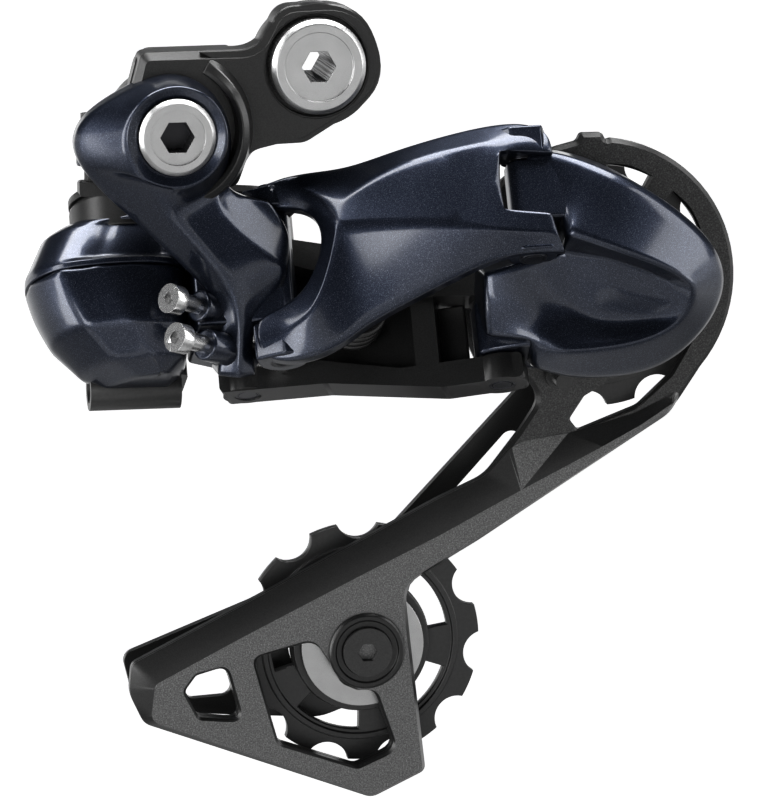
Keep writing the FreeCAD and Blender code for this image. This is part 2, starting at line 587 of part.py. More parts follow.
def inner_link():
    low = link_plate(INNER_NEAR, [(-EAR_R, 3.0, 1), (6, 3.0, 4), (27, -2.2, 6), (LINK_LENGTH + EAR_R, -2.2, 1),
                                  (LINK_LENGTH + EAR_R, -6.6, 1), (34, -6.6, 6), (14, -3.0, 8), (-EAR_R, -2.0, 1)],
                     -3.4, 3.4)
    high = link_plate(INNER_NEAR, [(-EAR_R, 24.4, 1), (8, 24.4, 5), (LINK_LENGTH + EAR_R, 12.0, 1),
                                   (LINK_LENGTH + EAR_R, 8.0, 1), (30, 10.2, 3), (8, 20.0, 5), (-EAR_R, 20.0, 1)],
                      -3.4, 3.4)
    pillar = link_plate(INNER_NEAR, [(29.6, -3.6, 0), (33.6, -3.6, 0), (33.6, 10.5, 0), (29.6, 12, 0)], -3.4, 3.0)
    back = link_plate(INNER_NEAR, [(7, 1, 2), (30.5, -3.6, 0), (30.5, 12, 0), (7, 22.3, 2)], -3.4, -1.8)
    round_near = [link_post(INNER_NEAR, 0, EAR_R, *ear) for ear in INNER_NEAR_EARS]
    round_far = [link_post(INNER_NEAR, LINK_LENGTH, EAR_R, *ear) for ear in INNER_FAR_EARS]
    body = fuse([low, high, pillar, back] + round_near + round_far)
    near_gap = [(-8, -5, 0), (5.2, -5, 2), (5.2, 5, 2), (-8, 5, 0)]
    far_gap = [(38.6, -5, 2), (49, -5, 0), (49, 5, 0), (38.6, 5, 2)]
    gaps = [link_deck(INNER_NEAR, near_gap, *lug_heights(INNER_NEAR_EARS)),
            link_deck(INNER_NEAR, far_gap, *lug_heights(INNER_FAR_EARS))]
    bores = [link_post(INNER_NEAR, 0, BUSH_R, -12, 24.4), link_post(INNER_NEAR, LINK_LENGTH, BUSH_R, -12, 30)]
    return cut_all(body, gaps + bores)


def inner_link_bushes():
    near = link_bushes(INNER_NEAR, 0, INNER_NEAR_EARS).Solids
    open_bore = link_post(INNER_NEAR, LINK_LENGTH, PIN_R + OPEN_PIVOT, -20, 50)
    far = [link_post(INNER_NEAR, LINK_LENGTH, BUSH_R, *ear).cut(open_bore) for ear in INNER_FAR_EARS]
    return group(near + far)


def pin(place, up0, up1):
    return post(place, PIN_R, up0, up1)


SAVER_AXIS = (LINK_OUT * -0.94 - LINK_DIR * 0.34).normalize()
SAVER_START = (21.5, 8.0, 7.6)    # along, out and up from the inner link's near pin
SAVER_COIL = (4.2, 0.75, 2.1, 3.9)       # coil radius, wire radius, pitch and turns
CAGE_COIL = (6.9, 1.1, 2.9, 3.5)


def saver_spring():
    return coil(link_point(INNER_NEAR, *SAVER_START), SAVER_AXIS, *SAVER_COIL)


def saver_post():
    start = link_point(INNER_NEAR, *SAVER_START) - SAVER_AXIS * 1.4
    cap = Part.makeCylinder(3.2, 1.0, start, SAVER_AXIS)
    stem = Part.makeCylinder(2.6, 10.8, start, SAVER_AXIS)
    return cap.fuse(stem)


# ---------------------------------------------------------------- lower knuckle
P_BARREL_R = 11.5
CAGE_AXLE_R = 3.5
AXLE_BUSH_R = 5.6
SPRING_ROOM_R = 9.2
AXLE_BUSH_Y = (-17.0, -11.0)
EAR_SWEEP_R = 8.6                # room for the outer link's far ears as they turn


def p_knuckle():
    body = plate([(43.2, -16.0, 1), (65.5, -29.6, 7), (69.2, -38.5, 10), (63, -51, 10), (54, -53, 5), (43.2, -53, 2)],
                 -19.5, -1)
    barrel = disc(CAGE_AXLE, P_BARREL_R, -1, 3.0)
    low = plate([(45, -40, 2), (67, -40, 8), (62, -50, 8), (45, -52, 2)], -2, 2.0)
    ax, an = OUTER_FAR
    lug_a = deck([(ax - 3.4, an - 3.2, 3.1), (ax - 3.4, an + 3.2, 3.1), (ax + 12, an + 8, 1), (ax + 12, an - 9, 1)],
                 *lug_heights(OUTER_FAR_EARS))
    cx, cn = INNER_FAR
    lug_c = deck([(cx - 3.9, cn - 3.6, 3.4), (cx - 3.9, cn + 4.0, 3.4), (cx + 3, cn + 12, 2), (cx + 16, cn + 12, 1),
                  (cx + 16, cn - 8, 1), (cx + 3, cn - 5, 1)], *lug_heights(INNER_FAR_EARS))
    stop_lug = plate([(39.4, -50, 1), (43.6, -50, 0), (42.3, -55.6, 0.6), (39.4, -55.6, 0.8)], -4, 3.0)
    bowl = Part.makeCone(11.0, 9.0, 1.5, V3(54.0, -19.5, -38.5), V3(0, -1, 0))
    body = fuse([body, barrel, low, lug_a, lug_c, stop_lug, bowl])
    sweep = [post(OUTER_FAR, EAR_SWEEP_R, OUTER_FAR_EARS[0][0] - EAR_GAP + 0.05, OUTER_FAR_EARS[0][1] + EAR_GAP - 0.05),
             post(OUTER_FAR, EAR_SWEEP_R, OUTER_FAR_EARS[1][0] - EAR_GAP + 0.05, 40),
             post(INNER_FAR, 4.9, -20, INNER_FAR_EARS[0][1] + EAR_GAP - 0.05),
             post(INNER_FAR, 4.9, INNER_FAR_EARS[1][0] - EAR_GAP + 0.05, INNER_FAR_EARS[1][1] + EAR_GAP)]
    bores = [post(OUTER_FAR, PIN_R, -10, 40), post(INNER_FAR, PIN_R, -10, 40),
             disc(CAGE_AXLE, SPRING_ROOM_R, AXLE_BUSH_Y[1], 4),
             disc(CAGE_AXLE, AXLE_BUSH_R, AXLE_BUSH_Y[0] - 0.2, 4)]
    return cut_all(body, sweep + bores)


def axle_bush():
    return ring(CAGE_AXLE, AXLE_BUSH_R, CAGE_AXLE_R + RUN, *AXLE_BUSH_Y)


def seal_ring():
    return ring(CAGE_AXLE, P_BARREL_R - 0.2, SPRING_ROOM_R + 0.1, 3.0, 3.8)


def cage_spring():
    return coil(V3(CAGE_AXLE[0], -8.9, CAGE_AXLE[1]), Y_AXIS, *CAGE_COIL)


# ---------------------------------------------------------------- cage
ARC_CENTRE = (50.8, -39.8)
ARC_R = 24.4
PULLEY_BOLT_R = 2.5
AXLE_BOLT_R = 1.8


def sector(centre, inner, outer, start, end, y0, y1):
    """Curved slot or band between two angles in degrees, counted from +X towards +Z."""
    def at(radius, angle):
        turn = math.radians(angle)
        return V3(centre[0] + radius * math.cos(turn), y0, centre[1] + radius * math.sin(turn))
    middle = 0.5 * (start + end)
    edges = [Part.Arc(at(outer, start), at(outer, middle), at(outer, end)).toShape(),
             Part.LineSegment(at(outer, end), at(inner, end)).toShape(),
             Part.Arc(at(inner, end), at(inner, middle), at(inner, start)).toShape(),
             Part.LineSegment(at(inner, start), at(outer, start)).toShape()]
    return Part.Face(Part.Wire(edges)).extrude(V3(0, y1 - y0, 0))


def cage_outer_plate():
    y0, y1 = OUTER_PLATE_Y
    head = disc(ARC_CENTRE, ARC_R, y0, y1)
    arm = plate([(-31.0, -105.2, 2), (30.9, -73.5, 8), (41.2, -61.5, 3), (33, -50, 0), (66, -30, 0), (74.9, -44, 0),
                 (71.4, -54.5, 10), (62.5, -65.2, 8), (17.2, -94.0, 4.5), (21.0, -126.8, 1.5), (10.9, -130.2, 3),
                 (-28.6, -115.2, 3)], y0, y1)
    windows = [plate([(-21.6, -109.3, 1.2), (-19.6, -106.6, 1.5), (-14.4, -105.2, 1.8), (-11.6, -115.0, 1.8),
                      (-19.2, -114.0, 1.2)], 0, 20),
               plate([(-9.6, -103.9, 1.8), (1.2, -101.3, 3), (5.0, -107.6, 3), (11.0, -110.4, 2), (15.6, -121.2, 2.6),
                      (8.5, -124.2, 2), (-5.2, -119.3, 2)], 0, 20),
               sector(ARC_CENTRE, 17.6, 20.8, -28, -78, 0, 20),
               sector(ARC_CENTRE, 17.4, 20.4, 62, 84, 0, 20),
               sector(ARC_CENTRE, 17.4, 20.4, 25, 47, 0, 20)]
    boss = disc(TENSION, 6.7, y0 - 0.6, y1)
    bridge = plate([(-31.0, -105.2, 2), (-27.2, -103.3, 1), (-25.6, -114.2, 1), (-28.6, -115.2, 2.5)],
                   y1 - 0.5, INNER_PLATE_Y[0])
    body = fuse([cut_all(head.fuse(arm), windows), boss, bridge])
    return cut_all(body, [disc(TENSION, PULLEY_BOLT_R, 0, 20), disc(GUIDE, PULLEY_BOLT_R, 0, 20),
                          disc(CAGE_AXLE, 3.0, 0, 20)])


def cage_inner_plate():
    y0, y1 = INNER_PLATE_Y
    arm = plate([(-31.0, -105.2, 2), (-8.5, -96.5, 14), (16, -85, 8), (41.5, -58, 8), (40, -38, 6), (50, -30, 8),
                 (64, -34, 8), (64, -47, 10), (46, -66, 10), (25, -85, 6), (19.5, -96, 8), (20.5, -112, 9),
                 (4, -118, 9), (-12, -116.8, 4), (-28.6, -115.2, 3)], y0, y1)
    windows = [plate([(-21.6, -109.3, 1.2), (-19.6, -106.2, 1.5), (-14.4, -104.6, 1.8), (-11.0, -113.2, 1.8),
                      (-19.2, -113.6, 1.2)], 0, 20),
               sector(TENSION, 8.5, 12.0, 100, 235, 0, 20),
               sector(GUIDE, 7.5, 10.5, -15, -100, 0, 20),
               plate([(22, -84.5, 1), (37.5, -67.5, 2), (40.5, -68.5, 1), (25, -85.3, 1)], 0, 20)]
    return cut_all(arm, windows + [disc(TENSION, PULLEY_BOLT_R, 0, 20), disc(GUIDE, PULLEY_BOLT_R, 0, 20)])


def cage_axle():
    stem = disc(CAGE_AXLE, CAGE_AXLE_R, -16.8, OUTER_PLATE_Y[0])
    collar = disc(CAGE_AXLE, 4.9, 2.0, OUTER_PLATE_Y[0])
    spigot = disc(CAGE_AXLE, 3.0, OUTER_PLATE_Y[0], 6.0)
    return fuse([stem, collar, spigot]).cut(disc(CAGE_AXLE, AXLE_BOLT_R, -4, 7))


def cage_axle_bolt():
    head = disc(CAGE_AXLE, 3.0, 6.0, OUTER_PLATE_Y[1])
    shank = disc(CAGE_AXLE, AXLE_BOLT_R, -3.0, 6.0)
    socket = hexagon(V3(CAGE_AXLE[0], OUTER_PLATE_Y[1] + 0.1, CAGE_AXLE[1]), -Y_AXIS, 2.5, 2.5)
    return head.fuse(shank).cut(socket)


STOP_PIN = (43.9, -56.2)


def cage_stop_pin():
    return disc(STOP_PIN, 1.5, -1.5, OUTER_PLATE_Y[0]).fuse(disc(STOP_PIN, 2.1, 3.4, OUTER_PLATE_Y[0]))


BUSH_Y = (7.2, 15.2)
PULLEY_BUSH_R = 3.4


def pulley_bolt(centre):
    """Bolt from the outer plate's face into the inner plate."""
    head = disc(centre, 4.3, OUTER_PLATE_Y[0] - 2.2, OUTER_PLATE_Y[0] - 0.6)
    shank = disc(centre, PULLEY_BOLT_R, OUTER_PLATE_Y[0] - 0.6, INNER_PLATE_Y[1] + 0.4)
    hexa = hexagon(V3(centre[0], OUTER_PLATE_Y[0] - 2.3, centre[1]), Y_AXIS, 3.0, 2.4)
    return head.fuse(shank).cut(hexa)


def guide_bolt():
    """Flush bolt behind the lower knuckle, driven from the inner side."""
    head = disc(GUIDE, 4.2, INNER_PLATE_Y[1], INNER_PLATE_Y[1] + 1.6)
    shank = disc(GUIDE, PULLEY_BOLT_R, OUTER_PLATE_Y[0], INNER_PLATE_Y[1])
    return head.fuse(shank).cut(hexagon(V3(GUIDE[0], INNER_PLATE_Y[1] + 1.7, GUIDE[1]), -Y_AXIS, 3.0, 2.4))


def pulley_bush(centre, radius):
    return ring(centre, radius, PULLEY_BOLT_R, *BUSH_Y)


def dust_caps(centre, radius):
    """Thin washers each side of a pulley, clear of it."""
    outer = ring(centre, radius, PULLEY_BUSH_R, BUSH_Y[0], BUSH_Y[0] + 0.6)
    inner = ring(centre, radius, PULLEY_BUSH_R, BUSH_Y[1] - 0.6, BUSH_Y[1])
    return group([outer, inner])


# ---------------------------------------------------------------- pulleys
PITCH_R = CHAIN_PITCH / (2 * math.sin(math.pi / PULLEY_TEETH))
PULLEY_ROOT_R = PITCH_R - CHAIN_ROLLER_R
PULLEY_TIP_R = 21.2


def pulley(centre, bore, thickness, hub_r, hub_half, first_tooth):
    """Toothed wheel: a tip disc with a round seat for each chain roller."""
    y0 = PULLEY_Y - thickness / 2
    y1 = PULLEY_Y + thickness / 2
    wheel = disc(centre, PULLEY_TIP_R, y0, y1)
    seats = []
    windows = []
    for i in range(PULLEY_TEETH):
        turn = first_tooth + (i + 0.5) * 2 * math.pi / PULLEY_TEETH
        seat = V3(math.cos(turn), 0, math.sin(turn)) * PITCH_R + V3(centre[0], 0, centre[1])
        seats.append(disc((seat.x, seat.z), CHAIN_ROLLER_R, y0 - 1, y1 + 1))
    for i in range(5):
        start = math.degrees(first_tooth) + 72 * i
        windows.append(sector(centre, 12.3, 15.7, start, start + 44, y0 - 1, y1 + 1))
    hub = disc(centre, hub_r, PULLEY_Y - hub_half, PULLEY_Y + hub_half)
    rim = ring(centre, 17.4, 16.4, y0 - 0.5, y1 + 0.5)
    body = fuse([cut_all(wheel, seats), rim, hub])
    return cut_all(body, windows + [disc(centre, bore, 0, 20)])


FIRST_TOOTH = math.radians(9.2)
GUIDE_FIRST_TOOTH = math.radians(85.0)
PULLEY_THICK = 2.0


def guide_pulley():
    return pulley(GUIDE, PULLEY_BUSH_R + RUN, PULLEY_THICK, 8.0, 3.2, GUIDE_FIRST_TOOTH)


BEARING_R = (4.6, 7.6)            # inner race outside and outer race inside
BEARING_SEAT_R = 9.2
BEARING_Y = (PULLEY_Y - 2.3, PULLEY_Y + 2.3)
BALL_R = 2.0
BALL_CENTRES_R = 6.1
BALLS = 8


def tension_pulley():
    return pulley(TENSION, BEARING_SEAT_R, PULLEY_THICK, 12.0, 2.5, FIRST_TOOTH)


def outer_race():
    race = ring(TENSION, BEARING_SEAT_R, BEARING_R[1], *BEARING_Y)
    return race.cut(ball_track())


def inner_race():
    return ring(TENSION, BEARING_R[0], PULLEY_BUSH_R, *BEARING_Y).cut(ball_track())


def ball_track():
    return Part.makeTorus(BALL_CENTRES_R, BALL_R + RUN, V3(TENSION[0], PULLEY_Y, TENSION[1]), Y_AXIS)


def bearing_balls():
    balls = []
    for i in range(BALLS):
        turn = 2 * math.pi * i / BALLS
        offset = V3(math.cos(turn), 0, math.sin(turn)) * BALL_CENTRES_R
        balls.append(Part.makeSphere(BALL_R, V3(TENSION[0], PULLEY_Y, TENSION[1]) + offset))
    return group(balls)


# ---------------------------------------------------------------- write the parts
def build():
    knuckle = b_knuckle()
    save("bracket_link", bracket_link())
    save("hanger_bolt", hanger_bolt())
    save("hanger_snap_ring", hanger_snap_ring())
    save("b_axle_bolt", b_axle_bolt())
    save("b_axle_bush", b_axle_bush())
    save("b_knuckle", knuckle)
    save("stop_screw", stop_screw())
    save("low_limit_screw", limit_screw(LOW_LIMIT, 23.3))
    save("high_limit_screw", limit_screw(HIGH_LIMIT, 14.5))
    save("motor_housing_lower", motor_housing_lower(knuckle))
    save("motor_housing_upper", motor_housing_upper(knuckle))
    save("housing_gasket", housing_gasket(knuckle))
    save("gear_cover", gear_cover())
    save("housing_screws", housing_screws())
    save("plug_socket", plug_socket())
    save("plug_contacts", plug_contacts())
    save("circuit_board", circuit_board())
    save("motor_can", motor_can())
    save("motor_end_cap", motor_end_cap())
    save("motor_pinion", motor_pinion())
    save("reduction_gear", reduction_gear())
    save("reduction_pin", reduction_pin())
    save("output_gear", output_gear())
    save("knuckle_outer_pin", pin((0, 0), OUTER_NEAR_EARS[0][0], OUTER_NEAR_EARS[1][1]))
    save("knuckle_inner_pin", pin(INNER_NEAR, INNER_NEAR_EARS[0][0], SECOND_STAGE[1]))
    save("outer_link", outer_link())
    save("outer_link_bushes", outer_link_bushes())
    save("inner_link", inner_link())
    save("inner_link_bushes", inner_link_bushes())
    save("saver_spring", saver_spring())
    save("saver_post", saver_post())
    save("p_knuckle", p_knuckle())
    save("cage_outer_pin", pin(OUTER_FAR, OUTER_FAR_EARS[0][0], OUTER_FAR_EARS[1][1]))
    save("cage_inner_pin", pin(INNER_FAR, INNER_FAR_EARS[0][0], INNER_FAR_EARS[1][1]))
    save("axle_bush", axle_bush())
    save("seal_ring", seal_ring())
    save("cage_spring", cage_spring())
    save("cage_outer_plate", cage_outer_plate())
    save("cage_inner_plate", cage_inner_plate())
    save("cage_axle", cage_axle())
    save("cage_axle_bolt", cage_axle_bolt())
    save("cage_stop_pin", cage_stop_pin())
    save("guide_bolt", guide_bolt())
    save("tension_bolt", pulley_bolt(TENSION))
    save("guide_bush", pulley_bush(GUIDE, PULLEY_BUSH_R))
    save("tension_bush", pulley_bush(TENSION, PULLEY_BUSH_R))
    save("guide_dust_caps", dust_caps(GUIDE, 8.0))
    save("tension_dust_caps", dust_caps(TENSION, 10.8))
    save("guide_pulley", guide_pulley())
    save("tension_pulley", tension_pulley())
    save("bearing_outer_race", outer_race())
    save("bearing_inner_race", inner_race())
    save("bearing_balls", bearing_balls())


if __name__ == "__main__":
    os.makedirs("parts", exist_ok=True)
    build()
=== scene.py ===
import json
import math
import bmesh
import bpy
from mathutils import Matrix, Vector


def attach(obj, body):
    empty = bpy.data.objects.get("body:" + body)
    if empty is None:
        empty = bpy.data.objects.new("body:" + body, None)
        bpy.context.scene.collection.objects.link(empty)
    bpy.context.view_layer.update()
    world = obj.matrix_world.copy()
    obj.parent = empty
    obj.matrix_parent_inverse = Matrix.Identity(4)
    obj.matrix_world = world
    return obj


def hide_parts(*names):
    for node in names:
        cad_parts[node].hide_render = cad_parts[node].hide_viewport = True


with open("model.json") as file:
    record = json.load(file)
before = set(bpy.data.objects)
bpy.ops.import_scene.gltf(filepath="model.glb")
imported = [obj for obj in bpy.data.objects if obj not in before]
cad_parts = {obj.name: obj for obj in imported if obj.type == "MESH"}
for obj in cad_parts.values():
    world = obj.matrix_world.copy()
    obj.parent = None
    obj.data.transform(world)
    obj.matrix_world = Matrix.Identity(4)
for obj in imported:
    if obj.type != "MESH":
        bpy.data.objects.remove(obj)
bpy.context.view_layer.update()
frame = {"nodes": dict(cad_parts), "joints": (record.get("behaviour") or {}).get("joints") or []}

MM = 0.001
NODES = frame["nodes"]
JOINTS = {joint["name"]: joint for joint in frame["joints"]}


# ---------------------------------------------------------------- frames of the mechanism
def joint_point(name):
    return Vector(JOINTS[name]["pos_m"])


ALONG = Vector((1, 0, 0))
PIN_UP = Vector(JOINTS["shift"]["axis"]).normalized()
OUTWARD = Vector((0, -PIN_UP.z, PIN_UP.y))
NEAR_PIN = joint_point("shift")
FAR_OFFSET = joint_point("lower_knuckle_swing") - NEAR_PIN
LINK_REST = math.atan2(FAR_OFFSET.dot(OUTWARD), FAR_OFFSET.dot(ALONG))
LINK_LENGTH = math.hypot(FAR_OFFSET.dot(OUTWARD), FAR_OFFSET.dot(ALONG)) / MM
LINK_DIR = ALONG * math.cos(LINK_REST) + OUTWARD * math.sin(LINK_REST)
LINK_OUT = OUTWARD * math.cos(LINK_REST) - ALONG * math.sin(LINK_REST)
B_AXLE = joint_point("b_pivot")
CAGE_AXLE = joint_point("cage_pivot")
TENSION = joint_point("tension_spin")


def space(x, y, z):
    """Point given in millimetres in the frame's own axes."""
    return Vector((x, y, z)) * MM


def side_place(x, z, y):
    """Point of a shell drawn from the side: across, up, then depth."""
    return space(x, y, z)


def deck(along, out, up):
    """Point in millimetres along the bicycle, outward across the link pins and up them."""
    return NEAR_PIN + (ALONG * along + OUTWARD * out + PIN_UP * up) * MM


def deck_spot(name):
    """Place of a joint across the link pins, as millimetres along and outward."""
    offset = joint_point(name) - NEAR_PIN
    return Vector((offset.dot(ALONG), offset.dot(OUTWARD))) / MM


def link(along, out, up):
    """Point in millimetres in the outer link's own frame."""
    return NEAR_PIN + (LINK_DIR * along + LINK_OUT * out + PIN_UP * up) * MM


def link_place(along, up, out):
    """Point of a shell drawn in the outer link's frame: along, up, then depth."""
    return link(along, out, up)


# ---------------------------------------------------------------- shader helpers
def new_material(name, color, metallic, roughness, coat=0.0, coat_roughness=0.1):
    material = bpy.data.materials.new(name)
    material.use_nodes = True
    shader = material.node_tree.nodes["Principled BSDF"]
    shader.inputs["Base Color"].default_value = (*color, 1)
    shader.inputs["Metallic"].default_value = metallic
    shader.inputs["Roughness"].default_value = roughness
    shader.inputs["Coat Weight"].default_value = coat
    shader.inputs["Coat Roughness"].default_value = coat_roughness
    return material, shader


def noise(tree, scale, detail, blotch=0.5):
    """Noise texture on the object's own coordinates; scale counts features per metre."""
    place = tree.nodes.new("ShaderNodeTexCoord")
    texture = tree.nodes.new("ShaderNodeTexNoise")
    texture.inputs["Scale"].default_value = scale
    texture.inputs["Detail"].default_value = detail
    texture.inputs["Roughness"].default_value = blotch
    tree.links.new(place.outputs["Object"], texture.inputs["Vector"])
    return texture.outputs["Fac"]


def ramp(tree, source, stops, target):
    """Feeds target from a ramp of (position, grey or colour) stops."""
    node = tree.nodes.new("ShaderNodeValToRGB")
    elements = node.color_ramp.elements
    while len(elements) < len(stops):
        elements.new(0.5)
    for element, (position, value) in zip(elements, stops):
        element.position = position
        element.color = (*value, 1) if isinstance(value, tuple) else (value, value, value, 1)
    tree.links.new(source, node.inputs["Fac"])
    tree.links.new(node.outputs["Color"], target)
    return node.outputs["Color"]


def bump(tree, shader, height, strength, distance):
    """Bump of a height field; distance is in millimetres."""
    node = tree.nodes.new("ShaderNodeBump")
    node.inputs["Strength"].default_value = strength
    node.inputs["Distance"].default_value = distance * MM
    tree.links.new(height, node.inputs["Height"])
    tree.links.new(node.outputs["Normal"], shader.inputs["Normal"])


def operate(tree, kind, operation, first, second=None):
    """Math node fed by one or two sources; a second source may also be a plain value."""
    node = tree.nodes.new(kind)
    node.operation = operation
    tree.links.new(first, node.inputs[0])
    if isinstance(second, bpy.types.NodeSocket):
        tree.links.new(second, node.inputs[1])
    elif second is not None:
        node.inputs[1].default_value = second
    return node


def map_range(tree, source, start, end):
    """Rises from 0 to 1 as source goes from start to end."""
    node = tree.nodes.new("ShaderNodeMapRange")
    node.inputs["From Min"].default_value = start
    node.inputs["From Max"].default_value = end
    tree.links.new(source, node.inputs["Value"])
    return node.outputs["Result"]


# ---------------------------------------------------------------- materials
def paint():
    """Dark blue-grey metallic paint with fine flake under a clear coat."""
    material, shader = new_material("navy_paint", (0.03, 0.04, 0.06), 0.85, 0.34, coat=0.6,
                                    coat_roughness=0.13)
    tree = material.node_tree
    flake = noise(tree, 9000, 1.0)
    tones = [(0.35, (0.007, 0.010, 0.020)), (0.6, (0.016, 0.021, 0.036)), (0.76, (0.10, 0.115, 0.155))]
    ramp(tree, flake, tones, shader.inputs["Base Color"])
    cloud = noise(tree, 120, 3.0)
    ramp(tree, cloud, [(0.3, 0.32), (0.7, 0.38)], shader.inputs["Roughness"])
    bump(tree, shader, flake, 0.12, 0.02)
    return material


def satin_black(name, tone, roughness):
    """Fine-grained black finish with a thin coat."""
    color = (tone, tone, tone * 1.05)
    material, shader = new_material(name, color, 0.4, roughness, coat=0.1, coat_roughness=0.3)
    tree = material.node_tree
    grain = noise(tree, 5200, 2.0)
    ramp(tree, grain, [(0.35, tone * 0.75), (0.65, tone * 1.5)], shader.inputs["Base Color"])
    bump(tree, shader, grain, 0.25, 0.03)
    return material


# colour of the painted shade on the drive sockets' walls
SOCKET_SHADE_COLOR = (0.035, 0.035, 0.038, 1)
# painted shade in the drive sockets: millimetres from the bolt's axis, then millimetres behind its front
SOCKET_RADIUS = 3.4
SHADE_FROM = 0.7
SHADE_FULL = 5.0


def shade_socket(tree, shader, color, offset, front):
    """Paints shade onto what lies behind the bolt's front and close to its axis: the drive socket's walls.
    """
    flat = operate(tree, "ShaderNodeVectorMath", "MULTIPLY", offset, (1, 0, 1))
    reach = operate(tree, "ShaderNodeVectorMath", "LENGTH", flat.outputs["Vector"])
    inside = operate(tree, "ShaderNodeMath", "LESS_THAN", reach.outputs["Value"], SOCKET_RADIUS * MM)
    parts = tree.nodes.new("ShaderNodeSeparateXYZ")
    tree.links.new(offset, parts.inputs["Vector"])
    depth = map_range(tree, parts.outputs["Y"], (front + SHADE_FROM) * MM, (front + SHADE_FULL) * MM)
    amount = operate(tree, "ShaderNodeMath", "MULTIPLY", inside.outputs["Value"], depth)
    mix = tree.nodes.new("ShaderNodeMixRGB")
    mix.inputs["Color2"].default_value = SOCKET_SHADE_COLOR
    tree.links.new(amount.outputs["Value"], mix.inputs["Fac"])
    tree.links.new(color, mix.inputs["Color1"])
    tree.links.new(mix.outputs["Color"], shader.inputs["Base Color"])


def bolt_front(name, centre):
    """Y of a bolt's front, in millimetres from centre."""
    return (min(corner[1] for corner in NODES[name].bound_box) - centre[1]) / MM


def turned_steel(name, tone, roughness, centre, bolt=None):
    """Steel with fine turning rings about an axis along Y through centre.

    bolt names a node whose drive socket gets painted shade.
    """
    material, shader = new_material(name, (tone, tone, tone), 1.0, roughness)
    tree = material.node_tree
    place = tree.nodes.new("ShaderNodeTexCoord")
    shift = tree.nodes.new("ShaderNodeMapping")
    shift.inputs["Location"].default_value = (-centre[0], -centre[1], -centre[2])
    tree.links.new(place.outputs["Object"], shift.inputs["Vector"])
    rings = tree.nodes.new("ShaderNodeTexWave")
    rings.wave_type = "RINGS"
    rings.rings_direction = "Y"
    rings.inputs["Scale"].default_value = 2600
    rings.inputs["Distortion"].default_value = 2.0
    rings.inputs["Detail"].default_value = 2.0
    tree.links.new(shift.outputs["Vector"], rings.inputs["Vector"])
    turning = rings.outputs["Fac"]
    ramp(tree, turning, [(0.2, roughness * 0.8), (0.8, roughness * 1.25)], shader.inputs["Roughness"])
    cloud = noise(tree, 300, 3.0)
    color = ramp(tree, cloud, [(0.3, tone * 0.9), (0.7, tone)], shader.inputs["Base Color"])
    # painted shade inside the bolt's drive socket
    if bolt:
        shade_socket(tree, shader, color, shift.outputs["Vector"], bolt_front(bolt, centre))
    bump(tree, shader, turning, 0.08, 0.01)
    return material


def speckled_plate(name, tone):
    """Charcoal anodised plate with a fine metallic speckle."""
    material, shader = new_material(name, (0.1, 0.1, 0.105), 0.8, 0.42)
    tree = material.node_tree
    grain = noise(tree, 4200, 3.0, 0.7)
    tones = [(0.3, 0.06 * tone), (0.52, 0.12 * tone), (0.75, 0.25 * tone)]
    ramp(tree, grain, tones, shader.inputs["Base Color"])
    ramp(tree, grain, [(0.3, 0.5), (0.7, 0.36)], shader.inputs["Roughness"])
    bump(tree, shader, grain, 0.3, 0.03)
    return material


def moulded_resin():
    material, shader = new_material("black_resin", (0.012, 0.012, 0.013), 0.0, 0.36)
    tree = material.node_tree
    grain = noise(tree, 1800, 3.0)
    ramp(tree, grain, [(0.3, 0.009), (0.7, 0.017)], shader.inputs["Base Color"])
    bump(tree, shader, grain, 0.2, 0.03)
    return material


def plain_grain(name, color, metallic, roughness):
    """Material with a slight variation of tone."""
    material, shader = new_material(name, color, metallic, roughness)
    tree = material.node_tree
    grain = noise(tree, 2500, 3.0)
    dark = tuple(c * 0.8 for c in color)
    ramp(tree, grain, [(0.3, dark), (0.7, color)], shader.inputs["Base Color"])
    bump(tree, shader, grain, 0.15, 0.02)
    return material


PAINT = paint()
BLACK = satin_black("black_anodised", 0.014, 0.36)
PLATE = speckled_plate("charcoal_plate", 1.0)
PLATE_DARK = speckled_plate("charcoal_plate_head", 0.4)
# black finish of the inner plate and the washer; on the cage plate's bevels and walls it is painted shade
PLATE_BLACK_AND_BEVEL_SHADE = satin_black("plate_black_and_bevel_shade", 0.012, 0.30)
RESIN = moulded_resin()
BLACK_STEEL = satin_black("black_steel", 0.022, 0.26)
BOLT = turned_steel("hanger_steel", 0.42, 0.34, (0, 0, 0), "hanger_bolt")
AXLE_BOLT = turned_steel("axle_steel", 0.40, 0.34, B_AXLE, "b_axle_bolt")
CAP_STEEL = turned_steel("cap_steel", 0.36, 0.26, TENSION)
SCREW_STEEL = plain_grain("screw_steel", (0.6, 0.6, 0.6), 1.0, 0.24)
PIN_STEEL = plain_grain("pin_steel", (0.55, 0.55, 0.56), 1.0, 0.22)
DARK_PIN = plain_grain("dark_pin", (0.05, 0.052, 0.06), 0.9, 0.3)
BRONZE = plain_grain("bronze", (0.55, 0.38, 0.18), 1.0, 0.32)
RUBBER = plain_grain("rubber", (0.02, 0.02, 0.02), 0.0, 0.6)
BOARD = plain_grain("board", (0.02, 0.12, 0.05), 0.0, 0.5)
MOTOR_CASE = plain_grain("motor_case", (0.6, 0.6, 0.6), 1.0, 0.3)


